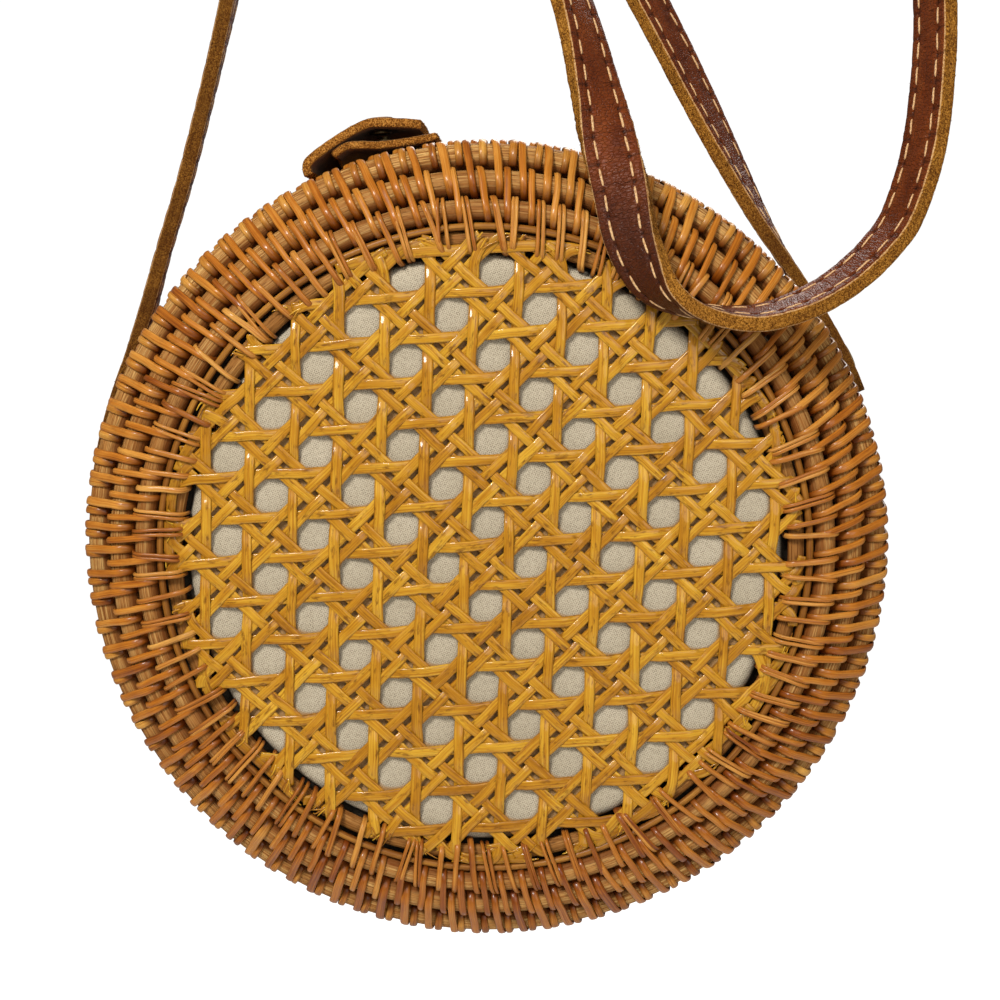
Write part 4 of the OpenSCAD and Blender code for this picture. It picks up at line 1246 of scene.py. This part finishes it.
def holed(angle, half_deg, r0, r1, y0, y1, hole, rng, K=72):
    """A rounded leather lug on the rim with a rivet hole at y = 0."""
    R = (r0 + r1) / 2
    t = (r1 - r0) / 2
    hx = math.radians(half_deg) * R
    ang = 2 * np.pi * np.arange(K) / K
    cyc, hy = (y0 + y1) / 2, (y1 - y0) / 2
    c, s_ = np.cos(ang), np.sin(ang)
    p = 5.0
    k = (np.abs(c) ** p + np.abs(s_) ** p) ** (-1 / p)
    outx, outy = hx * c * k, cyc + hy * s_ * k
    inx, iny = hole * c, hole * s_
    prof_ = [(0.0, 0.75), (0.03, 0.96)] + [(f, 1.0) for f in np.linspace(0.1, 0.94, 9)] + [(0.975, 0.9), (0.995, 0.5), (1.0, 0.0)]
    prof_ += [(f, -h) for f, h in prof_[-2::-1]]
    V = []
    for f, h in prof_:
        x, y = inx * (1 - f) + outx * f, iny * (1 - f) + outy * f
        th = math.radians(angle) + x / R
        rr_ = R + h * t
        V.append(np.stack([rr_ * np.sin(th), y, rr_ * np.cos(th)], -1))
    V = np.array(V)
    m = len(prof_)
    idx = np.arange(m * K).reshape(m, K)
    a, b = idx, np.roll(idx, -1, 0)
    F = np.stack([a, b, np.roll(b, -1, 1), np.roll(a, -1, 1)], -1)
    mi = np.array([1 if (prof_[q][0] > 0.96 or prof_[(q + 1) % m][0] > 0.98) else 0 for q in range(m)])
    mi = np.repeat(mi, K)
    V2, F2 = V.reshape(-1, 3), F.reshape(-1, 4)
    uv = np.stack([np.broadcast_to(ang[None] * 9, (m, K)), np.broadcast_to(np.array([q[0] for q in prof_])[:, None] * 10, (m, K))], -1).reshape(-1, 2)
    return part(V2, outward(V2, [(F2, uv[F2], mi)]), rng.random())


rng = np.random.default_rng(71)
for nm, sx in (("left", -1), ("right", 1)):
    p = holed(sx * 70.0, 7.0, SKIN + 0.15, SKIN + 1.05, -9.0, 5.5, 2.3, rng)
    build(f"lug_{nm}_leather", [p], [leather_mat, edge_mat], "front_shell", (f"lug_{nm}",))
build("flap_anchor_leather", [slab(-19.5, 0.5, SKIN + 0.1, SKIN + 1.9, 17.7 + 0.12, 25 - 0.12, rng)], [tab_mat, edge_mat, suede_mat], "back_shell", ("flap_anchor",))
hinge = build("hinge_strip_leather", [slab(170.5, 189.5, SKIN + 0.15, SKIN + 1.75, -13.85, 13.85, rng, 44, 56)], [leather_mat, edge_mat, suede_mat], None, ("front_hinge_leaf", "back_hinge_leaf"))
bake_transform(hinge)


# ---------------------------------------------------------------- metal parts
def lathe(profile, origin, axis, seg=40, mat=0):
    """A turned part: profile of (radius, height), closed at both ends on the axis."""
    axis = unit(np.asarray(axis, float))
    ref = np.array([0.0, 1.0, 0.0]) if abs(axis[1]) < 0.9 else np.array([1.0, 0, 0])
    a = unit(np.cross(axis, ref))
    b = np.cross(axis, a)
    ph = 2 * np.pi * np.arange(seg) / seg
    ringv = np.outer(np.cos(ph), a) + np.outer(np.sin(ph), b)
    V = np.array([np.asarray(origin) + r * ringv + h * axis for r, h in profile])
    m = len(profile)
    idx = np.arange(m * seg).reshape(m, seg)
    F = np.stack([idx[:-1], np.roll(idx[:-1], -1, 1), np.roll(idx[1:], -1, 1), idx[1:]], -1).reshape(-1, 4)
    V2 = np.concatenate([V.reshape(-1, 3), [np.asarray(origin) + profile[0][1] * axis], [np.asarray(origin) + profile[-1][1] * axis]])
    c0, c1 = len(V2) - 2, len(V2) - 1
    T = np.concatenate([np.stack([np.full(seg, c0), np.roll(idx[0], -1), idx[0]], -1), np.stack([np.full(seg, c1), idx[-1], np.roll(idx[-1], -1)], -1)])
    return part(V2, outward(V2, [(F, np.zeros((len(F), 4, 2)), np.full(len(F), mat)), (T, np.zeros((len(T), 3, 2)), np.full(len(T), mat))]))


for nm, sx in (("left", -1), ("right", 1)):
    a = math.radians(sx * 70.0)
    ax = np.array([math.sin(a), 0, math.cos(a)])
    prof_ = [(1.2, 0.0), (1.5, 0.3), (1.5, 3.76), (3.6, 3.8), (3.8, 3.88), (3.82, 4.0), (3.7, 4.15), (3.3, 4.28), (2.6, 4.38), (1.6, 4.45), (0.6, 4.48)]
    build(f"rivet_{nm}_brass", [lathe(prof_, ax * 100.73, ax)], [brass_mat], "strap_body", (f"rivet_{nm}",))

SNAP_A = TAB_A + math.radians(11.0)
up_ax = np.array([math.sin(SNAP_A), 0, math.cos(SNAP_A)])


def closure_at(x, y, z):
    return from_closure(np.array([x, y, z], float))


stud = [(2.3, 0.0), (2.6, 0.07), (2.6, 0.32), (2.4, 0.43), (1.5, 0.47), (1.1, 0.6), (1.2, 0.85), (1.3, 1.0), (1.2, 1.15), (0.5, 1.2)]
build("snap_stud_brass", [lathe(stud, closure_at(3.22, -11.0, 103.62), up_ax)], [snap_mat], "front_shell", ("snap_stud",))
sock = [(1.6, 0.58), (1.6, 0.03), (1.75, 0.0), (2.5, 0.0), (2.68, 0.08), (2.7, 0.3), (2.7, 0.65), (2.6, 0.8), (0.8, 0.8)]
build("snap_socket_brass", [lathe(sock, closure_at(2.55, -11.0, 105.62), up_ax)], [snap_mat], "flap_body", ("snap_socket",))
cap = [(3.3, 0.0), (3.4, 0.04), (3.42, 0.14), (3.3, 0.26), (2.8, 0.34), (1.8, 0.38), (1.0, 0.395), (0.4, 0.40)]
build("snap_cap_leather", [lathe(cap, closure_at(3.25, -11.0, 109.32), up_ax)], [cover_mat], "flap_body", ("snap_cap",))

# ---------------------------------------------------------------- floor, light and world
g = Mat("floor_white", Roughness=0.9, Specular_IOR_Level=0.1)
g.b.inputs["Emission Color"].default_value = (1, 1, 1, 1)
lit = g.t.nodes.new("ShaderNodeLightPath")
g.set(
    Base_Color=g.ramp(g.noise(g.obj(1.5), 1.0, 2.0), (0.3, (0.93, 0.93, 0.93)), (0.7, (0.96, 0.96, 0.96))),
    Emission_Strength=g.math("MULTIPLY", lit.outputs["Is Camera Ray"], 0.85),
)
me = bpy.data.meshes.new("floor")
R_, n_ = 12.0, 96
vs = [(0, 0, 0)] + [(R_ * math.cos(2 * math.pi * k / n_), R_ * math.sin(2 * math.pi * k / n_), 0) for k in range(n_)]
me.from_pydata(vs, [], [(0, 1 + k, 1 + (k + 1) % n_) for k in range(n_)])
me.materials.append(g.m)
floor = bpy.data.objects.new("floor", me)
floor.location = (0, 0, -0.95)
scene.collection.objects.link(floor)

world = bpy.data.worlds.new("world")
scene.world = world
world.use_nodes = True
wt = world.node_tree
wt.nodes.clear()
wo = wt.nodes.new("ShaderNodeOutputWorld")
bg1, bg2 = wt.nodes.new("ShaderNodeBackground"), wt.nodes.new("ShaderNodeBackground")
bg1.inputs[0].default_value = (1, 1, 1, 1)
bg1.inputs[1].default_value = 1.05
bg2.inputs[0].default_value = (1.0, 0.955, 0.90, 1)
bg2.inputs[1].default_value = 0.23
lp = wt.nodes.new("ShaderNodeLightPath")
mx = wt.nodes.new("ShaderNodeMixShader")
wt.links.new(lp.outputs["Is Camera Ray"], mx.inputs[0])
wt.links.new(bg2.outputs[0], mx.inputs[1])
wt.links.new(bg1.outputs[0], mx.inputs[2])
wt.links.new(mx.outputs[0], wo.inputs[0])
scene.view_settings.view_transform = "Standard"


def area_light(name, place, target, size, power, color=(1, 1, 1)):
    L = bpy.data.lights.new(name, "AREA")
    L.shape = "DISK"
    L.size = size
    L.energy = power
    L.color = color
    o = bpy.data.objects.new(name, L)
    o.location = place
    d = Vector(target) - Vector(place)
    o.rotation_euler = d.to_track_quat("-Z", "Y").to_euler()
    scene.collection.objects.link(o)


area_light("key", (-0.30, -1.00, 0.54), (0, 0, -0.26), 0.36, 18.0, (1.0, 0.975, 0.94))
area_light("front", (0.40, -1.15, 0.00), (0, 0, -0.28), 0.80, 4.4, (1.0, 0.97, 0.93))
area_light("rear", (0.35, 1.15, 0.55), (0, 0, -0.26), 0.80, 11.0, (1.0, 0.985, 0.96))

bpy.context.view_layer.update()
